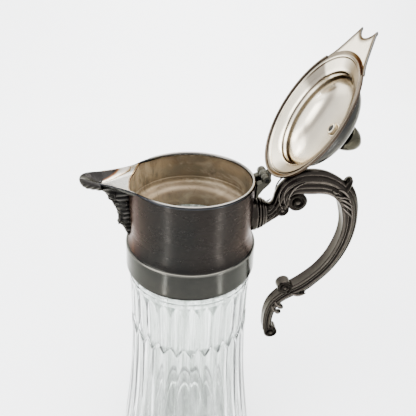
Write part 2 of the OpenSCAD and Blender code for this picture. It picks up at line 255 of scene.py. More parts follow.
def mat_inside():
    """Inside of the collar: golden tan with grey green clouds, bands by height with a painted highlight on the ledge,
    and painted light brighter on the lip's side.
    """
    m, t, b = nodes_of("plate_warm")
    col = ramp(t, noise_node(t, 38, 5, 0.62, (1, 1, 0.8), 0.6), [(0.28, (0.34, 0.31, 0.235)), (0.42, (0.42, 0.365, 0.265)), (0.54, (0.52, 0.425, 0.295)), (0.68, (0.66, 0.53, 0.37)), (0.8, (0.46, 0.345, 0.24))])
    x, y, z = sep_xyz(t)
    # bands by height; the lowest, on the sleeve's ledge, is a painted highlight
    rise = maths(t, "MULTIPLY", maths(t, "SUBTRACT", z, 0.226), 33.0)
    rise = maths(t, "ADD", rise, maths(t, "MULTIPLY", maths(t, "SUBTRACT", noise_node(t, 55, 3, 0.6), 0.5), 0.35))
    bands = ramp(t, rise, [(0.0, (0.80, 0.70, 0.58)), (0.20, (0.86, 0.76, 0.64)), (0.30, (0.42, 0.36, 0.26)), (0.62, (0.44, 0.42, 0.34)), (0.78, (0.66, 0.54, 0.37)), (0.90, (0.74, 0.62, 0.45)), (0.98, (0.52, 0.40, 0.27))])
    col = mix(t, 0.55, col, bands)
    # streaks of gold on the side by the lip
    wave = noise_node(t, 70, 4, 0.6, (2.6, 2.6, 0.5), 0.5)
    gold = maths(t, "MULTIPLY", ramp(t, maths(t, "MULTIPLY", x, -24.5), [(0.35, grey(0)), (0.8, grey(1))]), ramp(t, wave, [(0.46, grey(0)), (0.56, grey(1)), (0.66, grey(0.2))]))
    col = mix(t, maths(t, "MULTIPLY", gold, 0.95), col, (1.0, 0.86, 0.62))
    edge = maths(t, "MULTIPLY", ramp(t, maths(t, "MULTIPLY", x, -24.5), [(0.35, grey(0)), (0.8, grey(1))]), ramp(t, wave, [(0.60, grey(0)), (0.72, grey(1))]))
    col = mix(t, maths(t, "MULTIPLY", edge, 0.85), col, (0.10, 0.065, 0.035))
    spot = ramp(t, noise_node(t, 210, 4, 0.7, (1, 1, 1), 0.8), [(0.60, grey(0)), (0.70, grey(1))])
    col = mix(t, maths(t, "MULTIPLY", spot, 0.55), col, (0.13, 0.09, 0.055))
    pale = ramp(t, noise_node(t, 46, 5, 0.65, (1, 1, 1.3), 1.0), [(0.52, grey(0)), (0.66, grey(0.75))])
    col = mix(t, pale, col, (0.98, 0.90, 0.74))
    dull = ramp(t, noise_node(t, 30, 4, 0.6, (1, 1, 1.2), 0.8), [(0.50, grey(0)), (0.64, grey(0.6))])
    col = mix(t, dull, col, (0.26, 0.22, 0.165))
    col = mix(t, 1.0, col, (0.46, 0.395, 0.315), "MULTIPLY")
    # painted light: brighter on the lip's side, darker toward the handle's side
    side = ramp(t, maths(t, "ADD", maths(t, "MULTIPLY", x, 12.0), 0.5), [(0.08, grey(1.0)), (0.26, grey(0.92)), (0.44, grey(0.56)), (0.60, grey(0.40)), (0.85, grey(0.50))])
    col = mix(t, 1.0, col, side, "MULTIPLY")
    t.links.new(col, b.inputs["Base Color"])
    b.inputs["Metallic"].default_value = 0.5
    b.inputs["Specular Tint"].default_value = (0.62, 0.54, 0.44, 1)
    r = ramp(t, noise_node(t, 90, 5, 0.6), [(0.3, grey(0.44)), (0.7, grey(0.62))])
    t.links.new(r, b.inputs["Roughness"])
    bumped(t, b, [(noise_node(t, 60, 3, 0.6, (1, 1, 8)), 0.10, 0.0008), (noise_node(t, 30, 2, 0.5), 0.18, 0.003)])
    return m


def mat_spout():
    """The lip's channel, by the value drawn on the mesh: silver floor, gold crease, white side, orange and then black to the point."""
    m, t, b = nodes_of("plate_spout")
    v = maths(t, "ADD", attr(t, "relief"), maths(t, "MULTIPLY", maths(t, "SUBTRACT", noise_node(t, 150, 4, 0.65, (1, 1, 1), 0.5), 0.5), 0.07))
    col = ramp(t, v, [(0.06, (0.27, 0.262, 0.240)), (0.26, (0.31, 0.298, 0.270)), (0.36, (0.42, 0.395, 0.340)), (0.405, (0.075, 0.050, 0.024)), (0.44, (0.27, 0.18, 0.090)), (0.50, (0.62, 0.57, 0.49)), (0.61, (0.38, 0.33, 0.27)), (0.68, (0.17, 0.090, 0.045)), (0.75, (0.080, 0.034, 0.016)), (0.83, (0.026, 0.017, 0.014)), (0.95, (0.0125, 0.0115, 0.011))])
    cloud = noise_node(t, 60, 4, 0.6, (1, 1, 1), 0.5)
    clean = maths(t, "MULTIPLY", ramp(t, cloud, [(0.42, grey(0)), (0.64, grey(0.55))]), ramp(t, v, [(0.28, grey(1)), (0.40, grey(0))]))
    col = mix(t, clean, col, (0.175, 0.155, 0.120))
    t.links.new(col, b.inputs["Base Color"])
    b.inputs["Metallic"].default_value = 1.0
    r = ramp(t, noise_node(t, 80, 5, 0.6), [(0.3, grey(0.20)), (0.7, grey(0.38))])
    t.links.new(r, b.inputs["Roughness"])
    scratch = ramp(t, noise_node(t, 160, 2, 0.5, (0.6, 6, 1), 0.3), [(0.58, grey(0)), (0.64, grey(1)), (0.70, grey(0))])
    bumped(t, b, [(scratch, 0.08, 0.0003), (noise_node(t, 60, 2, 0.5), 0.10, 0.001)])
    return m


def mat_bright(name="plate_bright", base=(0.88, 0.79, 0.62), warm=(0.56, 0.475, 0.335), rough=(0.15, 0.30), shade_and_soil=(0.050, 0.037, 0.027)):
    """Clean plate with a cream cast, soft clouds and hair scratches."""
    m, t, b = nodes_of(name)
    cloud = ramp(t, noise_node(t, 24, 4, 0.6, (1, 1, 1), 0.4), [(0.40, grey(0)), (0.72, grey(0.6))])
    col = mix(t, cloud, base, warm)
    spot = ramp(t, noise_node(t, 150, 4, 0.72, (1, 1, 1), 1.2), [(0.64, grey(0)), (0.72, grey(1))])
    col = mix(t, maths(t, "MULTIPLY", spot, 0.30), col, (0.38, 0.33, 0.27))
    # painted shade by the relief drawn on the mesh: darker toward the given dark colour in corners, hollows and on
    # shaded sides, with brown patches where a mesh gives them
    painted_light_and_soil = attr(t, "relief")
    painted_light_and_soil = ramp(t, painted_light_and_soil, [(0.0, grey(0.0)), (0.2, grey(0.42)), (0.45, grey(0.76)), (0.8, grey(0.95)), (1.0, grey(1.0))])
    col = mix(t, painted_light_and_soil, col, shade_and_soil)
    t.links.new(col, b.inputs["Base Color"])
    t.links.new(mix(t, painted_light_and_soil, (0.90, 0.86, 0.78), (0.26, 0.22, 0.18)), b.inputs["Specular Tint"])
    b.inputs["Metallic"].default_value = 1.0
    r = ramp(t, noise_node(t, 50, 5, 0.6), [(0.3, grey(rough[0])), (0.7, grey(rough[1]))])
    t.links.new(r, b.inputs["Roughness"])
    scratch = ramp(t, noise_node(t, 160, 2, 0.5, (1, 9, 0.6), 0.3), [(0.60, grey(0)), (0.64, grey(1)), (0.68, grey(0))])
    bumped(t, b, [(scratch, 0.05, 0.0003), (noise_node(t, 24, 2, 0.5), 0.12, 0.002)])
    return m


def mat_cast(name="plate_cast", low=(0.018, 0.016, 0.014), mid=(0.085, 0.076, 0.066), high=(0.42, 0.38, 0.33), grain=0.25, rough=(0.22, 0.42)):
    """Cast and antiqued plate: black in the hollows and rubbed light on the high edges, by the relief drawn on the mesh."""
    m, t, b = nodes_of(name)
    rel = attr(t, "relief")
    n = noise_node(t, 240, 4, 0.7)
    v = maths(t, "ADD", rel, maths(t, "MULTIPLY", maths(t, "SUBTRACT", n, 0.5), 0.34))
    col = ramp(t, v, [(0.12, low), (0.42, mid), (0.66, tuple(lerp(a, c, 0.30) for a, c in zip(mid, high))), (0.95, high)])
    cloud = noise_node(t, 34, 3, 0.6)
    col = mix(t, ramp(t, cloud, [(0.35, grey(0)), (0.7, grey(0.45))]), col, tuple(a * 0.8 for a in mid))
    t.links.new(col, b.inputs["Base Color"])
    b.inputs["Metallic"].default_value = 1.0
    b.inputs["Specular Tint"].default_value = (0.68, 0.67, 0.63, 1)
    r = ramp(t, noise_node(t, 130, 5, 0.65), [(0.3, grey(rough[0])), (0.7, grey(rough[1]))])
    t.links.new(r, b.inputs["Roughness"])
    bumped(t, b, [(noise_node(t, 620, 3, 0.7), grain * 0.5, 0.0003), (noise_node(t, 110, 3, 0.6), grain, 0.0008)])
    return m


def mat_glass():
    """Clear glass, faintly green; the cut's hollows and corners carry painted grey green shade by the value drawn on
    the mesh.
    """
    m, t, b = nodes_of("glass")
    tone = attr(t, "relief")
    col = ramp(t, tone, [(0.0, (0.95, 0.97, 0.955)), (0.3, (0.62, 0.68, 0.645)), (0.6, (0.16, 0.19, 0.17)), (1.0, (0.035, 0.048, 0.042))])
    # painted refraction: fine vertical grey green streaks through the glass
    streak = ramp(t, noise_node(t, 210, 3, 0.6, (1, 1, 0.03)), [(0.45, grey(0)), (0.58, grey(0.85))])
    col = mix(t, streak, col, (0.34, 0.385, 0.345))
    t.links.new(col, b.inputs["Base Color"])
    b.inputs["Transmission Weight"].default_value = 1.0
    b.inputs["IOR"].default_value = 1.5
    r = ramp(t, noise_node(t, 60, 4, 0.6), [(0.3, grey(0.02)), (0.8, grey(0.09))])
    t.links.new(r, b.inputs["Roughness"])
    bumped(t, b, [(noise_node(t, 40, 2, 0.5, (1, 1, 0.3)), 0.14, 0.0014), (noise_node(t, 130, 2, 0.5, (1, 1, 0.06)), 0.26, 0.0014)])
    return m


def mat_plaster():
    m, t, b = nodes_of("plaster")
    col = ramp(t, noise_node(t, 120, 5, 0.6), [(0.3, (0.62, 0.60, 0.54)), (0.7, (0.80, 0.78, 0.72))])
    t.links.new(col, b.inputs["Base Color"])
    b.inputs["Roughness"].default_value = 0.8
    bumped(t, b, [(noise_node(t, 300, 4, 0.7), 0.4, 0.0006)])
    return m


def mat_floor():
    m, t, b = nodes_of("floor")
    col = ramp(t, noise_node(t, 3, 4, 0.6), [(0.3, (0.885, 0.885, 0.88)), (0.7, (0.915, 0.915, 0.91))])
    t.links.new(col, b.inputs["Base Color"])
    b.inputs["Roughness"].default_value = 0.85
    b.inputs["Specular IOR Level"].default_value = 0.1
    return m


M_DARK, M_BAND, M_IN, M_BRIGHT = mat_sheet_dark(), mat_band(), mat_inside(), mat_bright()
M_SPOUT = mat_spout()
M_RIM = mat_bright("plate_rim", (0.19, 0.1775, 0.1575), (0.125, 0.11, 0.09), (0.12, 0.24), (0.015, 0.016, 0.018))
M_EDGE = mat_bright("plate_edge", (0.1404, 0.1118, 0.0806), (0.078, 0.0572, 0.0416), (0.18, 0.30), (0.026, 0.01976, 0.0156))
M_CAST = mat_cast("plate_cast", (0.00368, 0.00345, 0.00322), (0.01656, 0.01564, 0.01426), (0.0874, 0.0828, 0.0736))
M_TIP = mat_cast("plate_tip", (0.003312, 0.002981, 0.002981), (0.01192, 0.01093, 0.0106), (0.0563, 0.05299, 0.04802), 0.12, (0.16, 0.30))
M_HANDLE = mat_cast("plate_handle", (0.004098, 0.003474, 0.002875), (0.0182, 0.01536, 0.01263), (0.0683, 0.05968, 0.05009), 0.12, (0.16, 0.29))
M_HINGE = mat_cast("plate_hinge", (0.00552, 0.00552, 0.00414), (0.02484, 0.02346, 0.0184), (0.0667, 0.06256, 0.0506), 0.6, (0.26, 0.42))
M_DOME = mat_cast("plate_dome", (0.008316, 0.008165, 0.00756), (0.0297, 0.02903, 0.02661), (0.09207, 0.08891, 0.08104), 0.10, (0.16, 0.28))
M_FIN = mat_cast("plate_finial", (0.006653, 0.006255, 0.004434), (0.03326, 0.03058, 0.02121), (0.1616, 0.1483, 0.1041), 0.16, (0.14, 0.26))
M_PIN = mat_cast("pin_steel", (0.00276, 0.00276, 0.00276), (0.0276, 0.02668, 0.0253), (0.1012, 0.1012, 0.092), 0.2, (0.25, 0.4))
M_LIP = mat_cast("plate_lip", (0.0092, 0.00966, 0.01058), (0.023, 0.02438, 0.02668), (0.0552, 0.0575, 0.0598), 0.3, (0.22, 0.34))
M_GLASS, M_PLASTER, M_FLOOR = mat_glass(), mat_plaster(), mat_floor()


# ---------------------------------------------------------------- meshes
class Part:
    """Collects points, faces, the relief value of each point and the material of each face."""

    def __init__(self):
        self.v, self.f, self.r, self.m = [], [], [], []

    def grid(self, rows, rel=None, wrap=False, loop=False, cap0=False, cap1=False, mi=0):
        """rows of points; wrap joins the last point of a row to its first, loop the last row to the first."""
        base = len(self.v)
        n, w = len(rows), len(rows[0])
        for i, row in enumerate(rows):
            for j, p in enumerate(row):
                self.v.append(p)
                self.r.append(rel[i][j] if rel is not None else 0.5)
        for i in range(n if loop else n - 1):
            for j in range(w if wrap else w - 1):
                a, b = base + i * w + j, base + i * w + (j + 1) % w
                c, d = base + ((i + 1) % n) * w + (j + 1) % w, base + ((i + 1) % n) * w + j
                self.f.append((a, b, c, d))
                self.m.append(mi)
        if cap0:
            self.fan([base + j for j in range(w)], mi)
        if cap1:
            self.fan([base + (n - 1) * w + j for j in range(w)], mi)
        return self

    def fan(self, idx, mi):
        c = [sum(self.v[i][k] for i in idx) / len(idx) for k in range(3)]
        r = sum(self.r[i] for i in idx) / len(idx)
        self.v.append(tuple(c))
        self.r.append(r)
        k = len(self.v) - 1
        for a, b in zip(idx, idx[1:] + idx[:1]):
            self.f.append((a, b, k))
            self.m.append(mi)

    def lathe(self, prof, n=192, closed=True, rel=None, mi=0, axis="z", at=(0, 0, 0), wob=None):
        """prof: (r, z) points. axis z, x or y; at is the origin of the profile."""
        rows, rr = [], []
        for i, (r, z) in enumerate(prof):
            row, rrow = [], []
            for j in range(n):
                a = 2 * math.pi * j / n
                r2 = r if wob is None else r + wob(a, r, z)
                c, s = r2 * math.cos(a), r2 * math.sin(a)
                p = (c, s, z) if axis == "z" else (z, c, s) if axis == "x" else (s, z, c)
                row.append(tuple(p[k] + at[k] for k in range(3)))
                rrow.append(rel(i, a, r, z) if rel else 0.5)
            rows.append(row)
            rr.append(rrow)
        return self.grid(rows, rr, wrap=True, loop=closed, mi=mi)

    def prism(self, poly, y0, y1, mi=0, r=0.5):
        """poly of (x, z), carried along y."""
        base = len(self.v)
        for y in (y0, y1):
            for x, z in poly:
                self.v.append((x, y, z))
                self.r.append(r)
        n = len(poly)
        self.f.append(tuple(base + k for k in range(n)))
        self.f.append(tuple(base + n + k for k in reversed(range(n))))
        self.m += [mi, mi]
        for k in range(n):
            self.f.append((base + k, base + (k + 1) % n, base + n + (k + 1) % n, base + n + k))
            self.m.append(mi)
        return self

    def make(self, name, mats, body="jug", nodes=(), sharp=38, lid=False, bevel=0.0, sub=0, weld=0.004, noise_amp=0.0, noise_scale=0.4):
        pts = []
        for x, y, z in self.v:
            if noise_amp:
                q = noise.noise_vector(Vector((x, y, z)) * noise_scale)
                x, y, z = x + q.x * noise_amp, y + q.y * noise_amp, z + q.z * noise_amp
            if lid:
                x, y, z = opened(x, y, z)
            pts.append((x / 1000, y / 1000, (z + H) / 1000))
        me = bpy.data.meshes.new(name)
        me.from_pydata(pts, [], self.f)
        at = me.attributes.new("relief", "FLOAT", "POINT")
        at.data.foreach_set("value", np.array(self.r, np.float32))
        me.polygons.foreach_set("material_index", np.array(self.m, np.int32))
        for k in mats if isinstance(mats, (list, tuple)) else [mats]:
            me.materials.append(k)
        bm = bmesh.new()
        bm.from_mesh(me)
        bmesh.ops.remove_doubles(bm, verts=bm.verts, dist=weld / 1000)
        bmesh.ops.dissolve_degenerate(bm, edges=bm.edges, dist=1e-7)
        bmesh.ops.recalc_face_normals(bm, faces=bm.faces)
        bm.to_mesh(me)
        bm.free()
        me.shade_smooth()
        me.set_sharp_from_angle(angle=math.radians(sharp))
        o = bpy.data.objects.new(name, me)
        bpy.context.scene.collection.objects.link(o)
        if bevel:
            k = o.modifiers.new("bevel", "BEVEL")
            k.width, k.segments, k.limit_method, k.angle_limit = bevel / 1000, 3, "ANGLE", math.radians(30)
            k.harden_normals = False
        if sub:
            k = o.modifiers.new("sub", "SUBSURF")
            k.levels = k.render_levels = sub
        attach(o, body)
        if nodes:
            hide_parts(*nodes)
        return o


def round_prof(pts, r, n=4):
    """Closed profile with each corner rounded by up to r."""
    out = []
    m = len(pts)
    for i in range(m):
        a, b, c = Vector(pts[i - 1]), Vector(pts[i]), Vector(pts[(i + 1) % m])
        u, v = a - b, c - b
        if u.length < 1e-6 or v.length < 1e-6:
            continue
        if u.angle(v) > math.radians(168):
            out.append(tuple(b))
            continue
        k = min(r, u.length * 0.42, v.length * 0.42)
        p, q = b + u.normalized() * k, b + v.normalized() * k
        for j in range(n + 1):
            t = j / n
            w = p * (1 - t) ** 2 + b * 2 * t * (1 - t) + q * t * t
            out.append(tuple(w))
    return out


# ---------------------------------------------------------------- glass
BODY = smooth_look([(8, 56.45), (14, 56.0), (30, 54.2), (48, 51.6), (66, 49.3), (84, 47.3), (102, 45.8), (120, 44.6), (138, 43.85), (156, 43.55), (172, 43.4), (184, 43.3)], 8)


def body_r(z):
    return look(BODY, z)


def flute(a, z):
    """Depth of the cut at polar angle a and height z over the table, and the painted shade it carries."""
    u = ((a + math.radians(3)) / PITCH) % 1.0
    u1 = abs(u - round(u)) * 2  # 0 on an upper panel's middle, 1 on its edge
    u2 = 1 - u1
    # upper panels end in an arch above and in a V below, the lower ones start with a V between them
    top = 184.6 - 5.0 * u1**2
    bot = 137.5 + 8.5 * u1
    h1 = step(0.0, 6.5, top - z) * step(0.0, 1.6, z - bot)
    start = 137.5 + 8.5 * (1 - u2) - 0.8
    h2 = step(0.0, 2.2, start - z) * step(8.5, 15.0, z)
    d = max(1.05 * h1 * (1 - 0.75 * u1**2), 1.1 * h2 * (1 - 0.9 * u2**2))
    tone = 0.0
    # painted shade: a shadow between each two arches, a dark wedge at each lower end and a dark line down each arris
    tone += 1.0 * step(-0.2, 0.8, 183.4 - z) * step(1.0, 0.72, u2 + (183.4 - z) * 0.095)
    tone += 0.72 * step(-0.5, 0.5, z - bot) * step(146.5, 143.0, z) * step(0.95, 0.55, u1)
    if z > bot:
        tone += 0.30 * step(0.80, 1.0, u1) * h1
    else:
        tone += 0.28 * step(0.84, 1.0, u2) * h2 + 0.14 * step(0.10, 0.0, u2) * h2
    return d, clamp(tone)


def build_glass():
    n = FLUTES * 16
    rows, tones = [], []

    def ring(r, z, cut=False, tone=0.0):
        row, tr = [], []
        for j in range(n):
            a = 2 * math.pi * j / n
            d, v = flute(a, z) if cut else (0.0, tone)
            row.append(((r - d) * math.cos(a), (r - d) * math.sin(a), z - H))
            tr.append(v)
        rows.append(row)
        tones.append(tr)

    for r, z in [(0.05, 2.4), (14, 2.2), (30, 1.9), (37.6, 1.6), (39.6, 0.9), (40.6, 0.15), (41.4, 0.0), (47, 0.0), (52.6, 0.0), (54.2, 0.3), (55.5, 1.3), (56.3, 3.2), (56.5, 5), (56.48, 7)]:
        ring(r, z)
    z = 8.0
    while z < 184:
        ring(body_r(z), z, True)
        z += 0.6 if (z < 17 or 134 < z < 150 or z > 170) else 2.6
    top = cr([(43.3, 184.9), (43.15, 185.6), (42.75, 186.1), (42.95, 186.7), (43.05, 187.5), (42.75, 188.6), (42.0, 189.7), (40.4, 190.9), (38.6, 191.4), (37.4, 191.8)], 3)
    for r, z in top:
        # painted shade: a dark line in the groove of the shoulder, a faint tone above
        ring(r, z, False, 0.75 if 185.6 < z < 186.6 else 0.1)
    for r, z in [(37.35, 200), (37.35, 212), (37.3, 224), (36.9, 225.6), (35.8, 226.5), (34.6, 226.6), (33.2, 226.3), (32.2, 225.2), (32, 223.6), (32, 210), (32, 200)]:
        ring(r, z)
    inner = cr([(32.2, 196), (34.2, 191.4), (36.3, 184), (37.4, 176), (37.8, 160), (38.2, 136), (39.4, 110), (41.6, 84), (44.6, 58), (48, 34), (49.9, 20), (49.3, 15.4), (47.4, 12.4), (44.4, 11.2), (40, 11), (26, 11), (12, 11), (0.05, 11)], 3)
    for r, z in inner:
        ring(r, z)
    p = Part()
    p.grid(rows, tones, wrap=True, cap0=True, cap1=True)
    return p.make("glass_body_looks", M_GLASS, "jug", ["glass_body"], sharp=50)


build_glass()

p = Part()
p.lathe(round_prof([(37.4, -63.4), (39.9, -63.4), (39.9, -29.4), (35.8, -29.4), (37.4, -31)], 0.3), 128)
p.make("cement_looks", M_PLASTER, "jug", ["cement_ring"], noise_amp=0.0)


# ---------------------------------------------------------------- pouring lip
SPW = cr([(26, 31.4), (28, 29.4), (30, 27.6), (31, 26.3), (34, 22.9), (37, 20.0), (41, 17.0), (46, 14.1), (51, 11.7), (57, 9.35), (62, 7.4), (66, 5.4), (69, 3.2), (70.5, 1.2)], 6)
SPT = cr([(26, 0.4), (31, 0.5), (37, 0.55), (41, 0.7), (46, 0.9), (51, 1.1), (57, 1.3), (62, 1.8), (66, 2.3), (68.6, 2.1), (70.5, 1.0)], 6)
SPD = [(26, 5.2), (38, 5.2), (46, 5.5), (51, 5.5), (57, 5.4), (60, 5.2)]
SPP = [(26, 9), (38, 9), (42, 7), (46, 4.4), (51, 2.3), (57, 1.25)]


def lip(x, u, ins=0.0):
    w, t, d = look(SPW, x) - ins, look(SPT, x), look(SPD, x) - 1.15 * ins
    return (-x, w * u, t - d * (1 - math.sqrt(u * u + 0.0004) ** look(SPP, x)))


def x_at(u, r, ins):
    """How far out the lip's line u leaves a cylinder of radius r."""
    x = 20.0
    for _ in range(200):
        w = look(SPW, x) - ins
        if x * x + (w * u) ** 2 >= r * r:
            break
        x += 0.1
    return x


def collar_cut(a):
    """Height of the collar's upper edge at the angle a from -X: the rim, or the underside of the lip."""
    x, y = TO * math.cos(a), TO * math.sin(a)
    w = look(SPW, max(x, 26))
    if x < 26 or abs(y) > w:
        return -0.3
    return min(-0.3, lip(x, y / w, 0.55)[2])


CREASE = [(38.5, 0.97), (42, 0.88), (47, 0.70), (50.7, 0.45), (54.5, 0.18), (58, 0.04)]
FLAME = [(44, 1.25), (47, 1.06), (50.7, 0.76), (54.5, 0.46), (58, 0.14)]


def film_at(x, u):
    """Colour value of the channel, and the height of its crease."""
    u = abs(u)
    uc, uo = look(CREASE, x), look(FLAME, x)
    ridge = 0.16 * math.exp(-(((u - uc) / 0.045) ** 2)) * step(38.5, 42.0, x) * step(57.2, 54.0, x)
    if u < uc:
        v = 0.05 + 0.30 * (u / max(uc, 0.01)) ** 3
        if uc - u < 0.05:
            v = 0.415
    elif u < uo:
        k = (u - uc) / max(uo - uc, 0.01)
        v = 0.45 + 0.31 * k**1.3
    else:
        v = 0.76 + 0.24 * clamp((u - uo) / 0.16)
    if x < 40.0:
        v = lerp(0.30, v, step(38.5, 40.0, x))
    return v, ridge


def build_spout():
    p = Part()
    nu, ns = 72, 60
    rows, rel = [], []
    # a loop for each step outward: underside from lip to lip, over the edge, back inside
    for i in range(ns + 1):
        s = i / ns
        row, rr = [], []
        for k in range(nu + 1):
            u = 1 - 2 * k / nu
            xs = x_at(u, TI + 0.35, 0)
            x = lerp(xs, 57.2, s)
            q = lip(x, u)
            row.append(q)
            rr.append(0.0)
        for k in range(nu + 1):
            u = -1 + 2 * k / nu
            xs = x_at(u * 0.999, TI + 0.35, 1.0)
            x = lerp(xs, 57.2, s)
            v, ridge = film_at(x, u)
            q = lip(x, u, 1.0)
            row.append((q[0], q[1], q[2] + ridge))
            # gold over the brow where the floor turns down into the tube
            if s < 0.10:
                v = lerp(0.425, v, step(0.035, 0.10, s))
            rr.append(v)
        rows.append(row)
        rel.append(rr)
    p.grid(rows, rel, wrap=True)
    # close the two ends strip by strip between the lower and the upper line
    for row, rr in ((rows[0], rel[0]), (rows[-1], rel[-1])):
        p.grid([row[: nu + 1], row[nu + 1 :][::-1]], [rr[: nu + 1], rr[nu + 1 :][::-1]])
    # the underside is as dark as the collar
    w = 2 * (nu + 1)
    for i in range(ns):
        for j in range(nu):
            p.m[i * w + j] = 1
    return p.make("spout_channel", [M_SPOUT, M_LIP], "jug", ["spout_shell"], sharp=50)


build_spout()


def tube(p, path, radius, n=14, rel=None, mi=0, caps=True, flat=1.0, up=(0, 0, 1)):
    """A tube along path; radius may be a function of the share of the length."""
    P = [Vector(q) for q in path]
    rows, rr = [], []
    upv = Vector(up)
    for i, q in enumerate(P):
        d = (P[min(i + 1, len(P) - 1)] - P[max(i - 1, 0)]).normalized()
        side = d.cross(upv)
        if side.length < 1e-4:
            side = d.cross(Vector((0, 1, 0)))
        side.normalize()
        nrm = side.cross(d).normalized()
        t = i / (len(P) - 1)
        r = radius(t) if callable(radius) else radius
        row, rrow = [], []
        for k in range(n):
            a = 2 * math.pi * k / n
            row.append(tuple(q + side * (r * math.cos(a)) + nrm * (r * flat * math.sin(a))))
            rrow.append(rel(t, a) if callable(rel) else 0.5 if rel is None else rel)
        rows.append(row)
        rr.append(rrow)
    p.grid(rows, rr, wrap=True, cap0=caps, cap1=caps, mi=mi)


BEAD = -0.15


def build_rim():
    """One wire: round the rim and out along both lips, thinning to the point."""
    p = Part()
    a0 = math.radians(42)
    path = []
    lips = []
    for i in range(34):
        x = lerp(57.5, 31.5, i / 33)
        q = lip(x, 1.0)
        lips.append((q[0], q[1] - 0.25, q[2] - 0.30))
    path += lips
    n = 220
    for i in range(n + 1):
        a = math.pi - a0 - (2 * math.pi - 2 * a0) * i / n
        path.append(((RIM - 1.25) * math.cos(a), (RIM - 1.25) * math.sin(a), BEAD))
    path += [(x, -y, z) for x, y, z in reversed(lips)]
    # ease the corner where the lips leave the circle
    q = [Vector(v) for v in path]
    for _ in range(6):
        q = [q[0]] + [(q[i - 1] + q[i] * 2 + q[i + 1]) / 4 for i in range(1, len(q) - 1)] + [q[-1]]
    ln = [0.0]
    for a, b in zip(q, q[1:]):
        ln.append(ln[-1] + (b - a).length)
    total = ln[-1]

    def out(t):
        i = int(round(t * (len(q) - 1)))
        return min(ln[i], total - ln[i])

    def rad(t):
        return lerp(0.42, 1.22, step(20, 42, out(t)))

    def tone(t, a):
        # dark blue grey out along the lips, light round the back; on the near side all but the top line of the wire is
        # darker, a painted shade
        d = out(t)
        y = q[int(round(t * (len(q) - 1)))].y
        return clamp(0.95 * step(44, 30, d) + 0.04 + lerp(0.22, 0.85, step(8, -8, y)) * step(0.93, 0.66, math.sin(a)))

    tube(p, q, rad, 18, rel=tone)
    return p.make("rim_wire_looks", M_RIM, "jug", ["rim_wire"], sharp=60)


build_rim()


# ---------------------------------------------------------------- collar
def build_collar():
    p = Part()
    n = 256

    def rows_for(r, zs_from_top, flip=False):
        rows = []
        for k in zs_from_top:
            row = []
            for j in range(n):
                a = 2 * math.pi * j / n
                phi = abs(math.atan2(math.sin(a - math.pi), math.cos(a - math.pi)))
                top = collar_cut(phi)
                z = lerp(top, -63.8, k)
                row.append((r * math.cos(a), r * math.sin(a), z))
            rows.append(row)
        return rows

    ks = [0, 0.01, 0.03, 0.07, 0.14, 0.22, 0.32, 0.45, 0.6, 0.75, 0.9, 1.0]
    outer = rows_for(TO, ks)
    inner = rows_for(TI, list(reversed(ks)))
    p.grid(outer, wrap=True, mi=0)
    p.grid(inner, wrap=True, mi=1)
    p.grid([inner[-1], outer[0]], wrap=True, mi=0)
    p.grid([outer[-1], inner[0]], wrap=True, mi=0)
    return p.make("collar_looks", [M_DARK, M_IN], "jug", ["collar_shell"], sharp=45)


build_collar()


def build_band():
    p = Part()
    # third value is the relief: near full on the rounded ledge for a painted highlight, near nought on the rolled-under
    # bottom edge and in the groove where band meets tube for painted shade
    prof = [(40.8, -64.35, 0.1), (41.5, -65.0, 0.05), (42.4, -65.3, 0.03), (43.2, -65.35, 0.03), (43.9, -65.0, 0.05), (44.5, -64.3, 0.12), (44.85, -63.5, 0.06), (45.0, -62.8, 0.10), (44.99, -62.2, 0.42), (44.98, -61.4, 0.52), (44.85, -59.6, 0.5)]
    prof += [(44.7, -56, 0.5), (44.55, -51, 0.5), (44.5, -47.6, 0.5), (44.45, -46.7, 0.55)]
    prof += [(43.4 + 1.08 * math.cos(math.radians(a)), -46.0 + 1.08 * math.sin(math.radians(a)), 0.7 + 0.3 * math.sin(math.radians(a * 2)) ** 2) for a in range(0, 91, 10)]
    prof += [(43.12, -44.75, 0.55), (43.0, -44.45, 0.1), (42.75, -43.9, 0.35), (42.4, -43.1, 0.5), (41.7, -40.9, 0.45), (41.2, -38.2, 0.42), (40.95, -36.4, 0.40), (40.84, -35.2, 0.38)]
    vals = [v for _, _, v in prof]
    p.lathe([(r, z) for r, z, _ in prof], 256, rel=lambda i, a, r, z: vals[i])
    k = len(prof)
    # the cove wears the collar's colour
    for i in range(len(p.f)):
        if i // 256 >= k - 7 and i // 256 < k:
            p.m[i] = 1
    return p.make("base_band_looks", [M_BAND, M_DARK], "jug", ["base_band"], sharp=42)


build_band()


def build_sleeve():
    p = Part()
    outer = [(39.85, -18.2), (39.85, -21.4)] + cr([(39.6, -22.4), (38.6, -23.3), (37, -23.65), (35.4, -23.8), (33.6, -24.3), (32.2, -25.6), (31.5, -27.4), (31.4, -29.4)], 3) + [(31.4, -37.3), (31.2, -37.5), (30.7, -37.5), (30.5, -37.3)]
    inner = cr([(30.5, -29.6), (30.55, -27.4), (31.2, -25.1), (32.4, -23.8), (34.0, -23.0), (35.8, -22.65), (37.4, -22.3), (38.6, -21.5), (39.2, -20.3), (39.5, -18.6)], 3)
    p.lathe(outer + inner, 192)
    return p.make("inner_sleeve_looks", M_IN, "jug", ["inner_sleeve"], sharp=50)


build_sleeve()


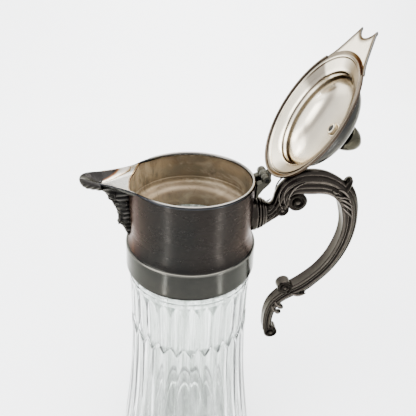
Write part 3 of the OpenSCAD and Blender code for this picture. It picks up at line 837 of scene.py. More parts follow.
# ---------------------------------------------------------------- the lip's cast point
def build_tip():
    p = Part()
    st = cr([(56.4, 9.45, 1.15, -6.0), (57.6, 9.4, 1.45, -6.1), (61, 8.1, 1.8, -6.0), (64, 6.7, 2.2, -5.9), (66.5, 5.3, 2.4, -5.6), (68.6, 3.9, 2.2, -4.2), (69.9, 2.4, 1.6, -2.4), (70.45, 1.0, 0.9, -0.6)], 10)
    rows, rel = [], []
    n = 64
    for x, w, top, bot in st:
        row, rr = [], []
        s = (x - 56.4) / 14.0
        out = step(1.0, 0.86, s)
        # the outside, from the far edge down and round to the near one
        for k in range(n + 1):
            a = math.pi * k / n
            c, q = math.cos(a), math.sin(a)
            y = w * math.copysign(abs(c) ** 0.72, c)
            z = (top - 0.45) - (top - 0.45 - bot) * q**0.9
            # ribs sweep back from the point along the sides, under a rolled edge
            g = math.sin(x * 1.7 + z * 2.0)
            g = math.copysign(abs(g) ** 0.6, g)
            fade = step(0.0, 0.08, s) * out * step(0.10, 0.3, q)
            y *= 1 + 0.035 * g * fade
            z -= 0.16 * g * fade * q
            r = 0.36 + 0.34 * g * fade
            r = max(r, 0.60 * step(0.22, 0.08, q))
            row.append((-x, y, z))
            rr.append(clamp(r))
        # over the edge and down into the channel, which gets shallow toward the point
        dip = lerp(4.25, 0.35, step(0.0, 0.92, s)) * out
        pw = lerp(1.25, 1.9, s)
        for k in range(n + 1):
            u = math.sin(math.pi * (k / n - 0.5))
            v = abs(u)
            y = (w - 0.12) * u
            z = top - dip * (1 - min(v / 0.90, 1.0) ** pw) - 0.40 * clamp((v - 0.92) / 0.08) ** 2
            curl = math.exp(-(((math.hypot((x - 65.2) * 0.9, (v * w - 2.6)) - 1.3) / 0.34) ** 2)) * step(0.42, 0.58, s) * out
            vein = math.exp(-(((x - 61.0 - 0.5 * (v * w - 3.0)) / 0.30) ** 2)) * step(0.9, 0.7, v) * step(0.1, 0.3, v)
            z += 0.14 * curl + 0.07 * vein
            r = 0.26 + 0.42 * curl + 0.16 * vein + 0.10 * step(0.7, 0.2, v)
            if v > 0.88:
                r = 0.62
            row.append((-x, y * (1 if out > 0 else 0.9), z))
            rr.append(clamp(r))
        rows.append(row)
        rel.append(rr)
    p.grid(rows, rel, wrap=True)
    for row, rr in ((rows[0], rel[0]), (rows[-1], rel[-1])):
        p.grid([row[: n + 1], row[n + 1 :][::-1]], [rr[: n + 1], rr[n + 1 :][::-1]])
    # bead where the channel ends
    bead = [(0.95 * math.sin(math.pi * k / 10), -0.95 * math.cos(math.pi * k / 10)) for k in range(11)]
    p.lathe([(max(r, 0.01), z) for r, z in bead], 20, closed=False, at=(-57.9, 0.0, -2.2), rel=lambda i, a, r, z: 1.0)
    return p.make("spout_tip_looks", M_TIP, "jug", ["spout_tip"], sharp=60)


build_tip()


# ---------------------------------------------------------------- the leaf under the lip
LEAF = cr([(-0.8, 60.3, 7.2), (-4.0, 60.8, 7.2), (-5.6, 60.4, 7.1), (-7.0, 57.6, 7.0), (-8.4, 55.8, 7.2), (-10.2, 54.6, 7.2), (-12.6, 53.2, 7.0), (-16.5, 51.2, 6.2), (-21, 49.2, 5.3), (-25, 48.4, 4.6), (-28.4, 48.2, 4.0), (-30.2, 48.9, 3.8), (-31.8, 48.6, 3.5), (-33.2, 47.0, 3.1), (-35.4, 45.4, 2.6), (-38.6, 44.0, 2.1), (-41.4, 43.2, 1.5), (-43.4, 42.2, 0.8)], 14)


def build_leaf():
    p = Part()
    n = 56
    rows, rel = [], []
    for z, xf, hw in LEAF:
        row, rr = [], []
        s = -z / 43.4
        for k in range(n + 1):
            a = -math.pi / 2 + math.pi * k / n
            v = math.sin(a)
            depth = xf - 39.6
            cc = abs(math.cos(a))
            x = 39.6 + depth * cc ** lerp(0.85, 0.6, s)
            y = hw * v * (0.66 + 0.34 * cc**0.5)
            # mid rib, small paired lobes that run down and outward, and slanting veins
            lobe = math.sin((z * 1.75) + abs(v) * 4.6)
            lobe = math.copysign(abs(lobe) ** 0.7, lobe)
            rib = math.exp(-((v / 0.16) ** 2))
            vein = math.sin(abs(v) * 17 - z * 1.3 + 1.4 * math.sin(z * 0.9))
            hgt = 0.34 * lobe * (0.35 + 0.65 * abs(v)) + 0.42 * rib + 0.20 * vein * abs(v)
            hgt *= step(0, 0.05, s) * step(1.0, 0.93, s)
            nx, ny = math.cos(a), v
            x += hgt * nx * 0.9
            y += hgt * ny * 0.9
            # never above the underside of the lip
            z2 = z
            wl = look(SPW, max(x, 26))
            if abs(y) < wl:
                z2 = min(z, lip(x, y / wl)[2] - 0.12)
            row.append((-x, y, z2))
            rr.append(clamp(0.34 + 0.24 * lobe * (0.3 + 0.7 * abs(v)) + 0.30 * rib + 0.26 * vein * abs(v)))
        # back, inside the collar's wall
        zb = min(z, -6.3)
        row += [(-40.5, hw * 0.6, zb), (-40.5, -hw * 0.6, zb)]
        rr += [0.2, 0.2]
        rows.append(row)
        rel.append(rr)
    p.grid(rows, rel, wrap=True, cap0=True, cap1=True)

    def curl(cx, cz, r0, turns, w0, y0, side, start):
        """A little scroll standing on the leaf's side."""
        path = []
        m = 40
        for i in range(m + 1):
            t = i / m
            rr = r0 * (1 - 0.82 * t)
            a = start + turns * 2 * math.pi * t
            path.append((-(cx + rr * math.cos(a)), side * (y0 + 0.5 * t), cz + rr * math.sin(a)))
        tube(p, path, lambda t: w0 * (1 - 0.45 * t), 10, rel=lambda t, a: 0.62 + 0.3 * math.sin(a), up=(0, 1, 0))

    for side in (-1, 1):
        curl(51.2, -9.2, 2.7, 1.3, 0.62, 6.3, side, 2.4)
        curl(48.0, -16.4, 2.3, 1.2, 0.55, 4.9, side, 0.6)
        curl(46.4, -24.4, 2.0, 1.2, 0.5, 3.9, side, 2.6)
        curl(46.2, -30.8, 1.9, 1.25, 0.55, 3.2, side, -0.4)
    for k in range(5):
        t = k / 4
        z = lerp(-12.5, -37.0, t)
        xf = look([(-q[0], q[1]) for q in LEAF], -z)
        bead = [(max(lerp(1.0, 0.7, t) * math.sin(math.pi * j / 8), 0.01), -lerp(1.0, 0.7, t) * math.cos(math.pi * j / 8)) for j in range(9)]
        p.lathe(bead, 14, closed=False, at=(-(xf - 0.25), 0, z), rel=lambda i, a, r, zz: 0.85)
    return p.make("spout_leaf_looks", M_CAST, "jug", ["spout_leaf"], sharp=60)


build_leaf()


# ---------------------------------------------------------------- hinge
def knuckle(p, y0, y1, r, lid=False):
    prof = [(1.02, y0), (r - 0.7, y0), (r - 0.22, y0 + 0.16), (r, y0 + 0.6), (r, y1 - 0.6), (r - 0.22, y1 - 0.16), (r - 0.7, y1), (1.02, y1)]
    p.lathe(prof, 40, closed=True, axis="y", at=(HX, 0, HZ), rel=lambda i, a, rr, z: 0.06 if i in (0, 7) else 0.34 if i in (1, 6) else 0.70 if i in (2, 5) else 0.46)


p = Part()
for s in (-1, 1):
    a, b = (3.2, 8.8) if s > 0 else (-8.8, -3.2)
    knuckle(p, a, b, 3.0)
    p.prism([(40.9, -2.6), (44.2, -1.0), (46.0, -0.2), (49.6, -0.6), (49.2, -2.0), (47.4, -3.9), (45.4, -6.0), (43.4, -9.2), (42.1, -11.6), (40.9, -13.2)], a + 0.2, b - 0.2, r=0.42)
p.prism([(40.9, -6.4), (44, -4.8), (47.2, -4.8), (50.2, -1.0), (51.5, -1.0), (51.3, -2.6), (46.6, -6.4), (43.4, -9.8), (40.9, -12.8)], -3.5, 3.5, r=0.30)
p.make("hinge_bracket_looks", M_HINGE, "jug", ["hinge_bracket"], sharp=32, bevel=0.45)

p = Part()
prof = [(0.01, -8.5), (0.5, -8.52), (0.8, -8.46), (0.99, -8.3), (0.99, 8.3), (0.8, 8.46), (0.5, 8.52), (0.01, 8.5)]
p.lathe(prof, 32, closed=False, axis="y", at=(HX, 0, HZ), rel=lambda i, a, r, z: 0.0 if i in (0, 1, 2, 5, 6, 7) else 0.4)
p.make("hinge_pin_looks", M_PIN, "jug", ["hinge_pin"], sharp=60)

p = Part()
knuckle(p, -3.0, 3.0, 3.0)
c119, s119 = math.cos(math.radians(119)), math.sin(math.radians(119))
p.prism([(HX - 0.6, HZ + 2.9), (HX - 2.6, HZ + 3.1), (40.7, 4.5), (40.7, 3.0), (42.4, 2.3), (43.3, 1.5), (HX - 2.6, HZ - 0.4), (HX - 1.6, HZ)], -2.9, 2.9, r=0.42)
p.prism([(42.2, 2.15), (42.0, 3.05), (38.4, 4.35), (35.6, 5.4), (35.4, 4.7), (38.4, 3.4)], -5.1, 5.1, r=0.5)
p.prism([(HX + a * c119 - b * s119, HZ + a * s119 + b * c119) for a, b in [(0.9, 0.5), (2.8, 1.3), (4.2, 1.2), (4.4, -0.9), (4.1, -1.5), (2.6, -1.5)]], -2.9, 2.9, r=0.4)
p.make("hinge_leaf_looks", M_HINGE, "lid", ["hinge_leaf"], sharp=32, lid=True, bevel=0.32)


# ---------------------------------------------------------------- lid
LID_OUT = [(42.3, 2.25), (41.0, 2.75), (38.6, 3.3), (34.4, 5.0), (32.4, 6.3), (31.75, 7.3), (31.5, 8.1), (31.1, 8.6), (30.85, 9.3), (30.75, 11), (30.3, 12.6), (29.4, 14.3), (27, 17.2), (22, 20.4), (14, 23), (6.8, 24.1), (0.05, 24.1)]
LID_IN = [(0.05, 23.25), (6.6, 23.2), (13.8, 22.1), (21.6, 19.5), (26.3, 16.5), (28.6, 13.8), (29.7, 11.6), (29.95, 10.2), (30.1, 8.9), (30.6, 8.1), (31.0, 7.4), (31.3, 6.4), (32.1, 5.4), (33.8, 4.3), (36.4, 3.3), (38.4, 2.55), (38.7, 1.85), (39.1, 1.6), (39.5, 1.8), (39.8, 2.2), (41.0, 1.9), (42.25, 1.45)]


def build_lid():
    p = Part()
    n = 240
    o = cr(LID_OUT, 4)
    q = cr(LID_IN, 4)

    def rel_in(i, a, r, z):
        # painted shade: two dark lines in the corners of the step with a bright strip between, and a dark hollow beside
        # the bead;
        # brown on the far side of the band; painted shade darkens the near side of the band, the step and the dome's
        # rim
        v = 0.0
        ca, sa = -math.cos(a), math.sin(a)
        ang = math.degrees(math.atan2(sa, ca))  # 0 at the nose, + on the far side
        near = step(0.25, -0.35, sa)
        if r > 28.0:
            v += math.exp(-(((r - 31.30) / 0.22) ** 2)) * 0.95 * step(8.4, 7.8, z)
            v += math.exp(-(((r - 29.95) / 0.24) ** 2)) * 0.60
            v += 0.42 * near * step(29.6, 30.0, r) * step(31.4, 30.9, r)
        if r > 31.6:
            v += 0.85 * math.exp(-(((r - 38.45) / 0.24) ** 2)) * (0.25 + 0.75 * step(75, 35, abs(ang)))
            v += 0.62 * step(38.8, 41.0, r)
            v += 0.46 * near * step(31.6, 32.4, r) * step(39.9, 39.3, r)
            v += 0.30 * near * step(38.6, 39.6, r)
            # a dull patch on the far side, between two lighter ones
            v += 0.55 * step(38, 43, ang) * step(74, 62, ang) * step(39.4, 38.2, r)
            v += 0.16 * step(12, 2, ang) * step(-30, -14, ang) * step(39.4, 37.0, r) * step(32, 34, r)
        else:
            # soft shadow across the dome
            x1, y1 = -r * ca, r * sa
            line = 22.6 - 0.006 * (x1 - 2.0) ** 2
            v += 0.46 * math.exp(-(((y1 - line) / 2.4) ** 2)) * step(28.6, 27.0, r)
            v += 0.22 * step(line + 0.5, line - 3.0, y1)
            v += 0.30 * near * step(27.2, 29.6, r)
        return clamp(v)

    p.lathe(o, n, closed=False, rel=lambda i, a, r, z: 0.62 if abs(r - 31.5) < 0.3 or r > 42 else 0.42, mi=1)
    p.lathe(q, n, closed=False, rel=rel_in, mi=0)
    p.lathe([(42.3, 2.25), (42.36, 1.95), (42.34, 1.65), (42.25, 1.45)], n, closed=False, rel=lambda i, a, r, z: 0.8, mi=0)

    # the nose: lines from the flange's circle out to its outline
    A = math.atan2(0.6, 0.8)
    nose = cr([(43.1 * 0.8, 43.1 * 0.6), (37.6, 22.5), (41, 19.6), (46, 16.1), (52, 12.2), (56.6, 9.4)], 7)
    ccx = 62.3
    a_t = math.atan2(9.4, ccx - 56.6)
    cr_ = math.hypot(9.4, ccx - 56.6)
    m_c = 26

    def outline():
        pts = [(x, y, 0) for x, y in nose]
        for i in range(1, 2 * m_c):
            a = lerp(a_t, -a_t, i / (2 * m_c))
            pts.append((ccx - cr_ * math.cos(a), cr_ * math.sin(a), 1))
        pts += [(x, -y, 0) for x, y in reversed(nose)]
        return pts

    out = outline()
    N = len(out)
    ins = []
    for i in range(N):
        a, b = out[max(i - 1, 0)], out[min(i + 1, N - 1)]
        d = Vector((b[0] - a[0], b[1] - a[1]))
        d.normalize()
        ins.append((d.y, -d.x))
    # which side is inward
    sgn = 1 if ins[10][0] * (40 - out[10][0]) + ins[10][1] * (0 - out[10][1]) > 0 else -1
    rows, rel = [], []
    for i in range(N):
        x1, y1, c = out[i]
        t = i / (N - 1)
        a = A * (1 - 2 * t)
        r0 = 40.2
        x0, y0 = r0 * math.cos(a), r0 * math.sin(a)
        nx, ny = sgn * ins[i][0], sgn * ins[i][1]

        def at(d, z):
            return (-(x1 + nx * d), y1 + ny * d, z)

        L = math.hypot(x1 - x0, y1 - y0)
        e = min(1.0, L * 0.3)
        row, rr = [], []
        left = 1.0 if y1 < 0 else 0.0
        # underside from the flange out, then the turned-down edge, then the top back to the flange
        for k2 in range(13):
            s = k2 / 12
            x, y = lerp(x0, x1 + nx * e * 1.15, s), lerp(y0, y1 + ny * e * 1.15, s)
            row.append((-x, y, lerp(2.12, 2.05, step(0, 0.3, s)) - 0.42 * step(0.70, 1.0, s) * (1 - 0.75 * (c == 1))))
            # brown creeps in along the far side and round the notch
            far = min(math.hypot(x - px, y - py) for px, py, _ in out)
            edge = step(3.4, 0.9, far) * lerp(0.62, 1.0, step(1.6, 0.7, far)) * lerp(1.0, 0.85, left)
            rr.append(clamp(0.07 + 0.45 * step(0.08, 0.0, s) + 0.80 * edge))
        row += [at(e * 0.95, 1.66), at(e * 0.6, 1.60), at(e * 0.2, 1.64), at(0.02, 1.85), at(0.02, 2.45), at(e * 0.2, 2.82), at(e * 0.6, 2.95), at(e * 1.1, 2.98)]
        rr += [0.9, 0.75, 0.85, 1.0, 1.0, 0.6, 0.5, 0.42]
        for k2 in range(7):
            s = k2 / 6
            x, y = lerp(x1 + nx * e * 1.3, x0, s), lerp(y1 + ny * e * 1.3, y0, s)
            row.append((-x, y, lerp(2.98, 2.92, step(0.5, 1.0, s))))
            rr.append(0.42)
        rows.append(row)
        rel.append(rr)
    f0 = len(p.m)
    p.grid(rows, rel, wrap=True, cap0=True, cap1=True, mi=0)
    w = len(rows[0])
    for i in range(N - 1):
        for j in range(w):
            if j >= 15:
                p.m[f0 + i * w + j] = 1
    return p.make("lid_shell_looks", [M_BRIGHT, M_DOME], "lid", ["lid_shell"], sharp=40, lid=True)


build_lid()


# the wire round the lid's edge, open at the nose
def build_ring():
    p = Part()
    prof = round_prof([(41.38, 1.02), (42.0, 0.62), (42.7, 0.62), (43.08, 0.82), (43.08, 1.6), (42.88, 1.98), (42.44, 2.08), (42.44, 1.36), (41.38, 1.64)], 0.24, 3)
    a0 = math.radians(37.6)
    rows, rel = [], []
    n = 240
    for i in range(n + 1):
        a = math.pi - a0 - (2 * math.pi - 2 * a0) * i / n
        rows.append([(r * math.cos(a), r * math.sin(a), z) for r, z in prof])
        rel.append([clamp(0.15 + 0.55 * step(42.5, 43.05, r) + 0.35 * step(41.9, 41.4, r)) for r, z in prof])
    p.grid(rows, rel, wrap=True, cap0=True, cap1=True)
    return p.make("lid_ring_looks", M_EDGE, "lid", ["lid_ring"], sharp=50, lid=True)


build_ring()

# finial: a foot, a thin neck with a bead, and a plain bud
FIN = cr([(6.1, 24.1), (6.35, 24.6), (6.3, 25.1), (5.5, 25.9), (4.0, 26.9), (3.65, 28.0), (4.0, 28.7), (5.2, 29.4), (6.2, 30.2), (7.4, 30.9), (8.2, 31.8), (8.42, 33.0), (8.2, 34.4), (7.7, 36.2), (6.9, 38.2), (5.8, 40.1), (4.4, 41.8), (2.75, 43.25), (1.2, 44.05), (0.03, 44.25)], 4)


def fin_wob(a, r, z):
    if 34.4 < z < 43.6:
        return -0.10 * abs(math.cos(a * 5)) ** 3 * step(34.4, 36.5, z) * step(43.6, 41.5, z)
    if 28.4 < z < 31.4:
        return -0.26 * abs(math.cos(a * 7)) ** 3 * step(28.4, 29.2, z) * step(31.4, 30.6, z)
    return 0.0


def fin_rel(i, a, r, z):
    v = 0.40 + fin_wob(a, r, z) * 1.2
    if 24.4 < z < 25.4:
        v += 0.25
    if 27.0 < z < 28.4:
        v -= 0.25
    if 28.8 < z < 30.6:
        v += 0.40
    if 30.9 < z < 31.4:
        v -= 0.30
    return clamp(v)


p = Part()
p.lathe(FIN, 144, closed=False, wob=fin_wob, rel=fin_rel)
p.lathe([(6.1, 24.1), (2.2, 24.1)], 144, closed=False)
p.make("finial_looks", M_FIN, "lid", ["finial"], sharp=60, lid=True)

p = Part()
p.lathe([(0.01, 19.2), (1.5, 19.2), (1.9, 19.5), (2.0, 19.8)] + [(2.0 - 0.12 * (k % 2), 20 + 0.25 * k) for k in range(12)] + [(2.0, 24), (2.0, 31.6), (0.01, 31.6)], 32, closed=False)
p.make("finial_stud_looks", M_PIN, "lid", ["finial_stud"], sharp=50, lid=True)

p = Part()
p.lathe(round_prof([(2.15, 22.2), (4.8, 22.2), (4.8, 23.2), (2.15, 23.2)], 0.35, 3), 64, rel=lambda i, a, r, z: 0.95 if z > 23.0 or (r < 3.85 and z < 22.4) else 0.30 if r > 4.5 else 0.0)
p.make("finial_washer_looks", M_BRIGHT, "lid", ["finial_washer"], sharp=50, lid=True)

# hexagonal nut with rounded corners and a chamfered crown
p = Part()
rows = []
for r, z in [(2.02, 22.2), (3.55, 22.2), (3.7, 22.0), (3.7, 20.3), (3.45, 19.95), (2.9, 19.8), (2.3, 19.8), (2.02, 20.1)]:
    row = []
    for j in range(72):
        a = 2 * math.pi * j / 72
        hexr = 3.7 * math.cos(math.pi / 6) / math.cos((a % (math.pi / 3)) - math.pi / 6)
        rr = min(r, hexr)
        row.append((rr * math.cos(a), rr * math.sin(a), z))
    rows.append(row)
tones = [0.9, 0.9, 0.2, 0.1, 0.35, 0.05, 0.1, 0.95]
p.grid(rows, [[v] * 72 for v in tones], wrap=True, loop=True)
p.make("finial_nut_looks", M_BRIGHT, "lid", ["finial_nut"], sharp=30, lid=True)


# ---------------------------------------------------------------- handle
BOSS = [(0.05, 38.4), (12.1, 39.2), (12.35, 40.4), (12.35, 42.6), (12.2, 43.3), (11.7, 43.9), (11.1, 44.2), (10.95, 44.45), (11.35, 44.75), (11.5, 45.3), (11.35, 45.95), (10.6, 46.35), (10.1, 46.5), (10.0, 46.75), (10.4, 47.05), (10.55, 47.6), (10.3, 48.2), (9.6, 48.5), (9.0, 48.65), (8.95, 48.9), (9.2, 49.2), (9.25, 49.7), (8.9, 50.3), (8.0, 50.65), (7.2, 50.85), (6.6, 51.0), (0.05, 51.0)]


def boss_rel(i, a, r, z):
    groove = any(abs(z - g) < 0.2 for g in (44.4, 46.6, 48.8, 50.9))
    crest = any(abs(z - g) < 0.45 for g in (43.2, 45.4, 47.6, 49.6)) and r > 8
    return 0.05 if groove else 0.78 if crest else 0.35


p = Part()
p.lathe(BOSS, 96, closed=False, axis="x", at=(0, 0, -27.5), rel=boss_rel)
p.make("handle_boss_looks", M_HANDLE, "jug", ["handle_boss"], sharp=60)

SCROLL = [
    (50.6, -19.0, 50.6, -34.2, 1.30), (51.9, -19.8, 52.6, -33.4, 1.15), (53.4, -20.1, 55.2, -31.8, 1.04), (54.6, -19.0, 58.8, -29.4, 1.0), (55.3, -16.8, 63.2, -25.0, 1.0),
    (56.0, -12.6, 66.2, -19.4, 1.0), (58.5, -6.3, 67.4, -14.6, 1.0), (65, 0.4, 70, -12.6, 1.0), (72.4, 3.9, 75, -12.2, 1.0), (80.6, 4.6, 81, -12.4, 1.0),
    (89.2, 3.2, 87.2, -12.4, 1.0), (97.3, -0.4, 93.4, -13.6, 1.0), (104.4, -5.1, 98.6, -16.8, 1.04), (110.6, -10.8, 102.6, -21.6, 1.08), (115.1, -18.4, 105, -27.6, 1.08),
    (117.9, -27.2, 107, -34.4, 1.04), (119.4, -37.4, 107.8, -41.8, 1.0), (119.2, -48.8, 107.2, -50, 1.0), (117, -60.4, 105.2, -58.6, 1.0), (112.8, -71.8, 101.8, -67.6, 1.0),
    (106.6, -82.4, 96.4, -76.4, 1.0), (98.8, -91.8, 90, -83.4, 1.0), (91, -99.6, 83.4, -89, 1.0), (82, -104.4, 77, -93.4, 0.96), (75.8, -108.2, 69.4, -99.4, 0.92),
    (71.4, -112.6, 62.8, -107.6, 0.88), (69.0, -119.4, 59.8, -117.4, 0.84), (67.8, -126.8, 59.4, -128, 0.80), (68.0, -133.2, 60.4, -137.2, 0.78), (69.6, -137.0, 63.6, -142.8, 0.76),
]
# one side of the handle's section: share across from the outer edge, half width, relief; the relief is low in the
# grooves and peaks on the beads' shoulders, those bright lines a painted highlight
SECT = [(0.00, 0.00, 0.50), (0.006, 0.22, 0.50), (0.03, 0.42, 0.46), (0.075, 0.57, 0.36), (0.125, 0.67, 0.50), (0.155, 0.71, 0.72), (0.18, 0.71, 0.30), (0.205, 0.69, 0.03),
        (0.235, 0.73, 0.14), (0.28, 0.83, 0.40), (0.335, 0.93, 0.46), (0.40, 0.985, 0.52), (0.455, 0.985, 0.60), (0.49, 0.96, 0.86), (0.515, 0.90, 0.30), (0.545, 0.83, 0.02), (0.585, 0.82, 0.06),
        (0.625, 0.87, 0.34), (0.665, 0.93, 0.52), (0.70, 0.955, 0.78), (0.725, 0.93, 0.30), (0.75, 0.885, 0.04), (0.785, 0.90, 0.30), (0.83, 0.96, 0.55), (0.88, 0.99, 0.62), (0.93, 0.985, 0.72),
        (0.97, 0.94, 0.66), (0.995, 0.84, 0.60), (0.985, 0.60, 0.60), (0.976, 0.30, 0.62), (0.974, 0.00, 0.62)]
W = 4.8


def section():
    s = cr(SECT, 2)
    full = s + [(a, -b, c) for a, b, c in reversed(s[1:-1])]
    return full


FULL = section()
ST = cr(SCROLL, 8)


def handle_pt(i, a, b, k=1.0):
    x0, z0, x1, z1, w = ST[i]
    return (lerp(x0, x1, a), b * W * w * k, lerp(z0, z1, a))


def side_y(x, z):
    """Half width of the handle beside the point x, z."""
    best = min(range(len(ST)), key=lambda i: abs((ST[i][0] + ST[i][2]) / 2 - x) + abs((ST[i][1] + ST[i][3]) / 2 - z))
    return W * ST[best][4]


def blade(p, pts, wid, th, side, y0=None, sink=0.9, skew=0.0):
    """One lobe of a leaf, lying on the handle's side; pts are x, z along its rib."""
    path = cr(pts, 7)
    m = len(path)
    y0 = side_y(*pts[len(pts) // 2]) if y0 is None else y0
    rows, rel = [], []
    for i, (x, z) in enumerate(path):
        t = i / (m - 1)
        a, b = path[max(i - 1, 0)], path[min(i + 1, m - 1)]
        d = Vector((b[0] - a[0], b[1] - a[1])).normalized()
        full = max(math.sin(math.pi * lerp(0.06, 0.97, t)) ** 0.55, 0.05)
        w, h = wid * full, th * full
        row, rr = [], []
        for k in range(22):
            a2 = 2 * math.pi * k / 22
            c, q = math.cos(a2), math.sin(a2)
            hh = h * q + skew * c * h if q > 0 else sink * q
            row.append((x - d.y * w * c, side * (y0 + hh), z + d.x * w * c))
            rr.append(clamp(0.04 + 0.86 * max(q, 0) ** 1.6 + 0.06 * c))
        rows.append(row)
        rel.append(rr)
    p.grid(rows, rel, wrap=True, cap0=True, cap1=True)


def volute(p, cx, cz, r, w, start, turns, sense, hub=0.30, bead=0.17):
    """A rolled end: a drum with a hollow on each face, a bead winding in to the eye."""
    half = [(0.02, w + 0.35), (hub * 0.6, w + 0.25), (hub, w - 0.25), (hub + 0.10, w - 1.0), (hub + 0.24, w - 0.75), (0.80, w - 0.35), (0.93, w - 0.55), (1.0, w - 1.2), (1.0, w - 2.2), (0.985, w * 0.3)]
    vals = [0.70, 0.66, 0.30, 0.02, 0.05, 0.16, 0.32, 0.52, 0.55, 0.56]
    prof = [(q * r, y) for q, y in half] + [(q * r, -y) for q, y in reversed(half)]
    rv = vals + list(reversed(vals))
    p.lathe(prof, 56, closed=False, axis="y", at=(cx, 0, cz), rel=lambda i, a, rr, z: rv[i])
    m = 54
    for side in (-1, 1):
        path = []
        for i in range(m + 1):
            t = i / m
            a = start + sense * turns * 2 * math.pi * t
            rr = r * lerp(1.0 - bead * 0.55, hub * 0.55, t**0.9)
            path.append((cx + rr * math.cos(a), side * (w - 0.30 + 0.25 * t), cz + rr * math.sin(a)))
        tube(p, path, lambda t: r * lerp(bead, bead * 0.62, t), 12, rel=lambda t, a: clamp(0.42 + 0.44 * math.sin(a) * -side), up=(0, 1, 0), flat=0.85)


def build_handle():
    p = Part()
    rows, rel = [], []
    last = len(ST) - 1
    for i in range(len(ST)):
        row, rr = [], []
        for a, b, c in FULL:
            row.append(handle_pt(i, a, b))
            # deeper colour toward the foot and the tail
            rr.append(clamp(c - 0.10 * step(60, 20, i) - 0.06 * step(last - 60, last, i)))
        rows.append(row)
        rel.append(rr)
    p.grid(rows, rel, wrap=True, cap0=True, cap1=True)

    # rolled ends
    volute(p, 71.6, -18.2, 6.8, W * 1.10, math.radians(150), 1.25, -1)
    volute(p, 61.8, -24.2, 4.8, W * 1.04, math.radians(80), 0.9, 1, hub=0.34)
    volute(p, 72.9, -93.6, 5.6, W * 1.06, math.radians(-60), 1.3, 1)
    volute(p, 67.2, -141.2, 5.4, W * 0.88, math.radians(60), 1.2, -1)

    for side in (-1, 1):
        # ribs that leave the arch and wind down into the foot scroll
        for pts, r0, r1 in (
            (((67.2, 0.6), (62.4, -2.6), (58.7, -8.0), (57.8, -13.2), (58.9, -18.4), (61.4, -22.6)), 0.55, 0.50),
            (((72.4, -0.8), (67.2, -3.2), (62.4, -7.6), (61.1, -12.5), (62.2, -17.6), (64.6, -21.4)), 0.50, 0.45),
        ):
            path = [(x, side * (W * 1.0 + 0.02), z) for x, z in cr(pts, 8)]
            tube(p, path, lambda t, r0=r0, r1=r1: lerp(r0, r1, t) * (0.35 + 0.65 * step(0, 0.2, t)), 10, rel=lambda t, a: clamp(0.55 + 0.30 * step(0.1, 0.5, t)), up=(0, 1, 0))
        # a rib out of the volute along the arch, its relief near full for a painted highlight, the brightest line on it
        path = [(x, side * (W * 1.04), z) for x, z in cr(((64.6, -15.2), (65.4, -11.6), (67.2, -8.2), (70.0, -5.2), (74.4, -3.0)), 8)]
        tube(p, path, lambda t: 0.75 * math.sin(math.pi * lerp(0.12, 0.95, t)) ** 0.6, 12, rel=0.97, up=(0, 1, 0))
        # ribs of the flared foot
        for pts in (((50.9, -22.2), (52.9, -22.4), (55.4, -20.0)), ((50.9, -26.2), (53.6, -25.6), (57.0, -22.2)), ((50.9, -30.0), (54.0, -28.9), (58.2, -25.4))):
            path = [(x, side * (W * lerp(1.30, 1.0, (x - 50.6) / 6.0) + 0.05), z) for x, z in cr(pts, 8)]
            tube(p, path, lambda t: lerp(0.85, 0.35, t), 10, rel=lambda t, a: 0.62, up=(0, 1, 0))
        # leaf on the outer bend: lobes fanning down and outward
        for pts, wid, th in (
            (((94.6, -9.6), (97.0, -11.5), (99.4, -11.4)), 1.15, 0.85),
            (((98.6, -8.8), (101.6, -10.0), (104.6, -12.4), (107.6, -16.0)), 1.20, 0.80),
            (((97.6, -13.6), (101.0, -14.8), (104.6, -15.2), (108.8, -17.0)), 1.15, 0.90),
            (((99.8, -15.8), (103.2, -17.0), (107.0, -19.2), (111.0, -22.0)), 1.15, 0.85),
            (((101.8, -18.8), (105.0, -20.8), (108.6, -23.2), (111.2, -25.4)), 1.10, 0.80),
            (((103.8, -22.6), (106.6, -25.4), (109.6, -28.0), (112.2, -30.4)), 1.10, 0.75),
        ):
            blade(p, pts, wid, th, side, skew=0.25)
        # leaf tips on the tail
        blade(p, ((78.0, -99.0), (84.0, -101.2), (90.2, -99.6)), 1.3, 0.55, side)
        blade(p, ((66.4, -107.2), (68.8, -111.2), (73.2, -113.6)), 1.2, 0.45, side, sink=0.6)
        blade(p, ((64.6, -111.6), (66.6, -116.4), (71.4, -119.0)), 1.1, 0.40, side, sink=0.6)

    # thumb leaf: a lobe standing up out of the bend, ribbed, its head rolled outward
    path = cr([(104.4, -13.0), (105.4, -9.6), (106.3, -6.6), (107.0, -4.4), (107.3, -2.9), (107.35, -2.0), (107.3, -1.65)], 6)
    heads = cr([(2.6, 4.9), (2.9, 4.8), (2.65, 4.4), (2.3, 3.9), (1.75, 3.1), (1.1, 2.0), (0.25, 0.6)], 6)
    rows, rel = [], []
    nn = len(path)
    for i, (x, z) in enumerate(path):
        a, b = path[max(i - 1, 0)], path[min(i + 1, nn - 1)]
        d = Vector((b[0] - a[0], b[1] - a[1])).normalized()
        th, wd = heads[i]
        row, rr = [], []
        for k in range(40):
            a2 = 2 * math.pi * k / 40
            c, q = math.cos(a2), math.sin(a2)
            y = wd * math.copysign(abs(c) ** 0.85, c)
            g = math.cos(y * 2.2)
            h = th * math.copysign(abs(q) ** 0.9, q) * (1 + 0.09 * g)
            row.append((x - d.y * h * -1, y, z + d.x * h * -1))
            rr.append(clamp(0.34 + 0.26 * g + (0.26 if q > 0.25 else 0.0)))
        rows.append(row)
        rel.append(rr)
    p.grid(rows, rel, wrap=True, cap0=True, cap1=True)
    # its blade runs down the outer edge and fades into the crest
    path = [(x, 0, z) for x, z in cr([(107.0, -5.6), (109.3, -8.8), (112.4, -13.2), (114.9, -18.4), (117.0, -24.4), (118.3, -31.0), (118.9, -37.5)], 7)]
    tube(p, path, lambda t: 1.25 * lerp(1.0, 0.45, t), 20, rel=lambda t, a: clamp(0.42 + 0.2 * math.sin(a)), flat=2.3, up=(0, 1, 0))

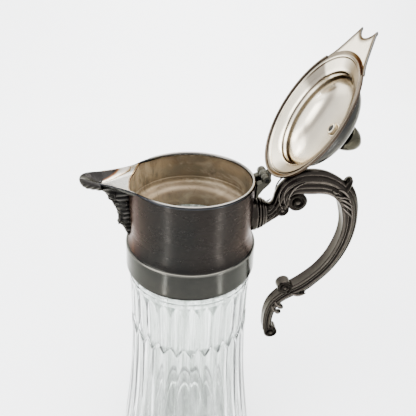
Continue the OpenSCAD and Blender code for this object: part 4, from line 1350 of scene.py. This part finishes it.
    # leaf tips that end in a lump on the tail's outer edge
    for pts, wd, th in (((( 82.6, -103.2), (86.6, -101.4), (89.6, -99.8), (91.2, -98.6)), 3.6, 1.5), (((69.6, -113.4), (71.8, -115.4), (74.2, -116.0), (75.4, -115.8)), 3.1, 1.7), (((68.4, -119.6), (70.4, -121.4), (72.6, -121.4), (74.0, -120.6)), 2.6, 1.3)):
        path = cr(pts, 6)
        rows, rel = [], []
        nn = len(path)
        for i, (x, z) in enumerate(path):
            t = i / (nn - 1)
            a, b = path[max(i - 1, 0)], path[min(i + 1, nn - 1)]
            d = Vector((b[0] - a[0], b[1] - a[1])).normalized()
            full = max(math.sin(math.pi * lerp(0.10, 0.985, t)) ** 0.5, 0.08)
            row, rr = [], []
            for k in range(28):
                a2 = 2 * math.pi * k / 28
                c, q = math.cos(a2), math.sin(a2)
                y = wd * full * c
                g = math.cos(y * 2.6)
                h = th * full * q * (1 + 0.08 * g)
                row.append((x - d.y * h, y, z + d.x * h))
                rr.append(clamp(0.42 + 0.30 * g))
            rows.append(row)
            rel.append(rr)
        p.grid(rows, rel, wrap=True, cap0=True, cap1=True)
    return p.make("handle_looks", M_HANDLE, "jug", ["handle"], sharp=60, weld=0.002)


build_handle()


# ---------------------------------------------------------------- floor, lights, camera
def sweep():
    prof = [(-4.0, 0.0), (-2.0, 0.0), (-0.5, 0.0), (0.4, 0.0), (1.0, 0.0)]
    prof += [(1.0 + 0.7 * math.sin(math.radians(a)), 0.7 - 0.7 * math.cos(math.radians(a))) for a in range(6, 91, 6)]
    prof += [(1.7, 1.4), (1.7, 3.2)]
    v, f = [], []
    xs = [-4 + 8 * k / 8 for k in range(9)]
    for y, z in prof:
        for x in xs:
            v.append((x, y, z - 0.0002))
    w = len(xs)
    for i in range(len(prof) - 1):
        for j in range(w - 1):
            f.append((i * w + j, i * w + j + 1, (i + 1) * w + j + 1, (i + 1) * w + j))
    me = bpy.data.meshes.new("floor")
    me.from_pydata(v, [], f)
    me.materials.append(M_FLOOR)
    me.shade_smooth()
    o = bpy.data.objects.new("floor", me)
    bpy.context.scene.collection.objects.link(o)
    return o


sweep()


def area(name, loc, target, size, power, size_y=None, colour=(1, 1, 1)):
    d = bpy.data.lights.new(name, "AREA")
    d.energy = power
    d.color = colour
    d.shape = "RECTANGLE"
    d.size = size
    d.size_y = size_y or size
    o = bpy.data.objects.new(name, d)
    o.location = loc
    o.rotation_mode = "QUATERNION"
    o.rotation_quaternion = (Vector(target) - Vector(loc)).to_track_quat("-Z", "Y")
    o.visible_camera = False
    bpy.context.scene.collection.objects.link(o)
    return o


area("top", (0.0, 0.2, 1.7), (0, 0.15, 0), 1.8, 70, 1.8)
area("left", (-1.3, -0.5, 0.9), (0, 0, 0.2), 0.9, 24, 1.2)
area("back", (0.3, 0.9, 1.4), (0, 1.6, 0.6), 1.4, 42, 0.8)
area("strip_left", (-0.206, -0.206, 0.092), (0, 0, 0.19), 0.010, 0.26, 0.155)
area("strip_right", (0.199, -0.210, 0.092), (0, 0, 0.19), 0.008, 0.24, 0.155)

world = bpy.data.worlds.new("world")
world.use_nodes = True
bg = world.node_tree.nodes["Background"]
bg.inputs["Color"].default_value = (0.93, 0.95, 1.0, 1)
bg.inputs["Strength"].default_value = 2.8
bpy.context.scene.world = world

cam = bpy.data.cameras.new("camera")
cam.sensor_width = 36.0
cam.lens = 36.91
cam.clip_start, cam.clip_end = 0.01, 50
co = bpy.data.objects.new("camera", cam)
right, down, fwd = (0.991818, -0.121333, 0.039701), (-0.027188, -0.504596, -0.862927), (0.124735, 0.854787, -0.503766)
co.matrix_world = Matrix(
    (
        (right[0], -down[0], -fwd[0], -0.024593),
        (right[1], -down[1], -fwd[1], -0.245256),
        (right[2], -down[2], -fwd[2], 0.121401 + 0.256),
        (0, 0, 0, 1),
    )
)
bpy.context.scene.collection.objects.link(co)
bpy.context.scene.camera = co

bpy.context.view_layer.update()
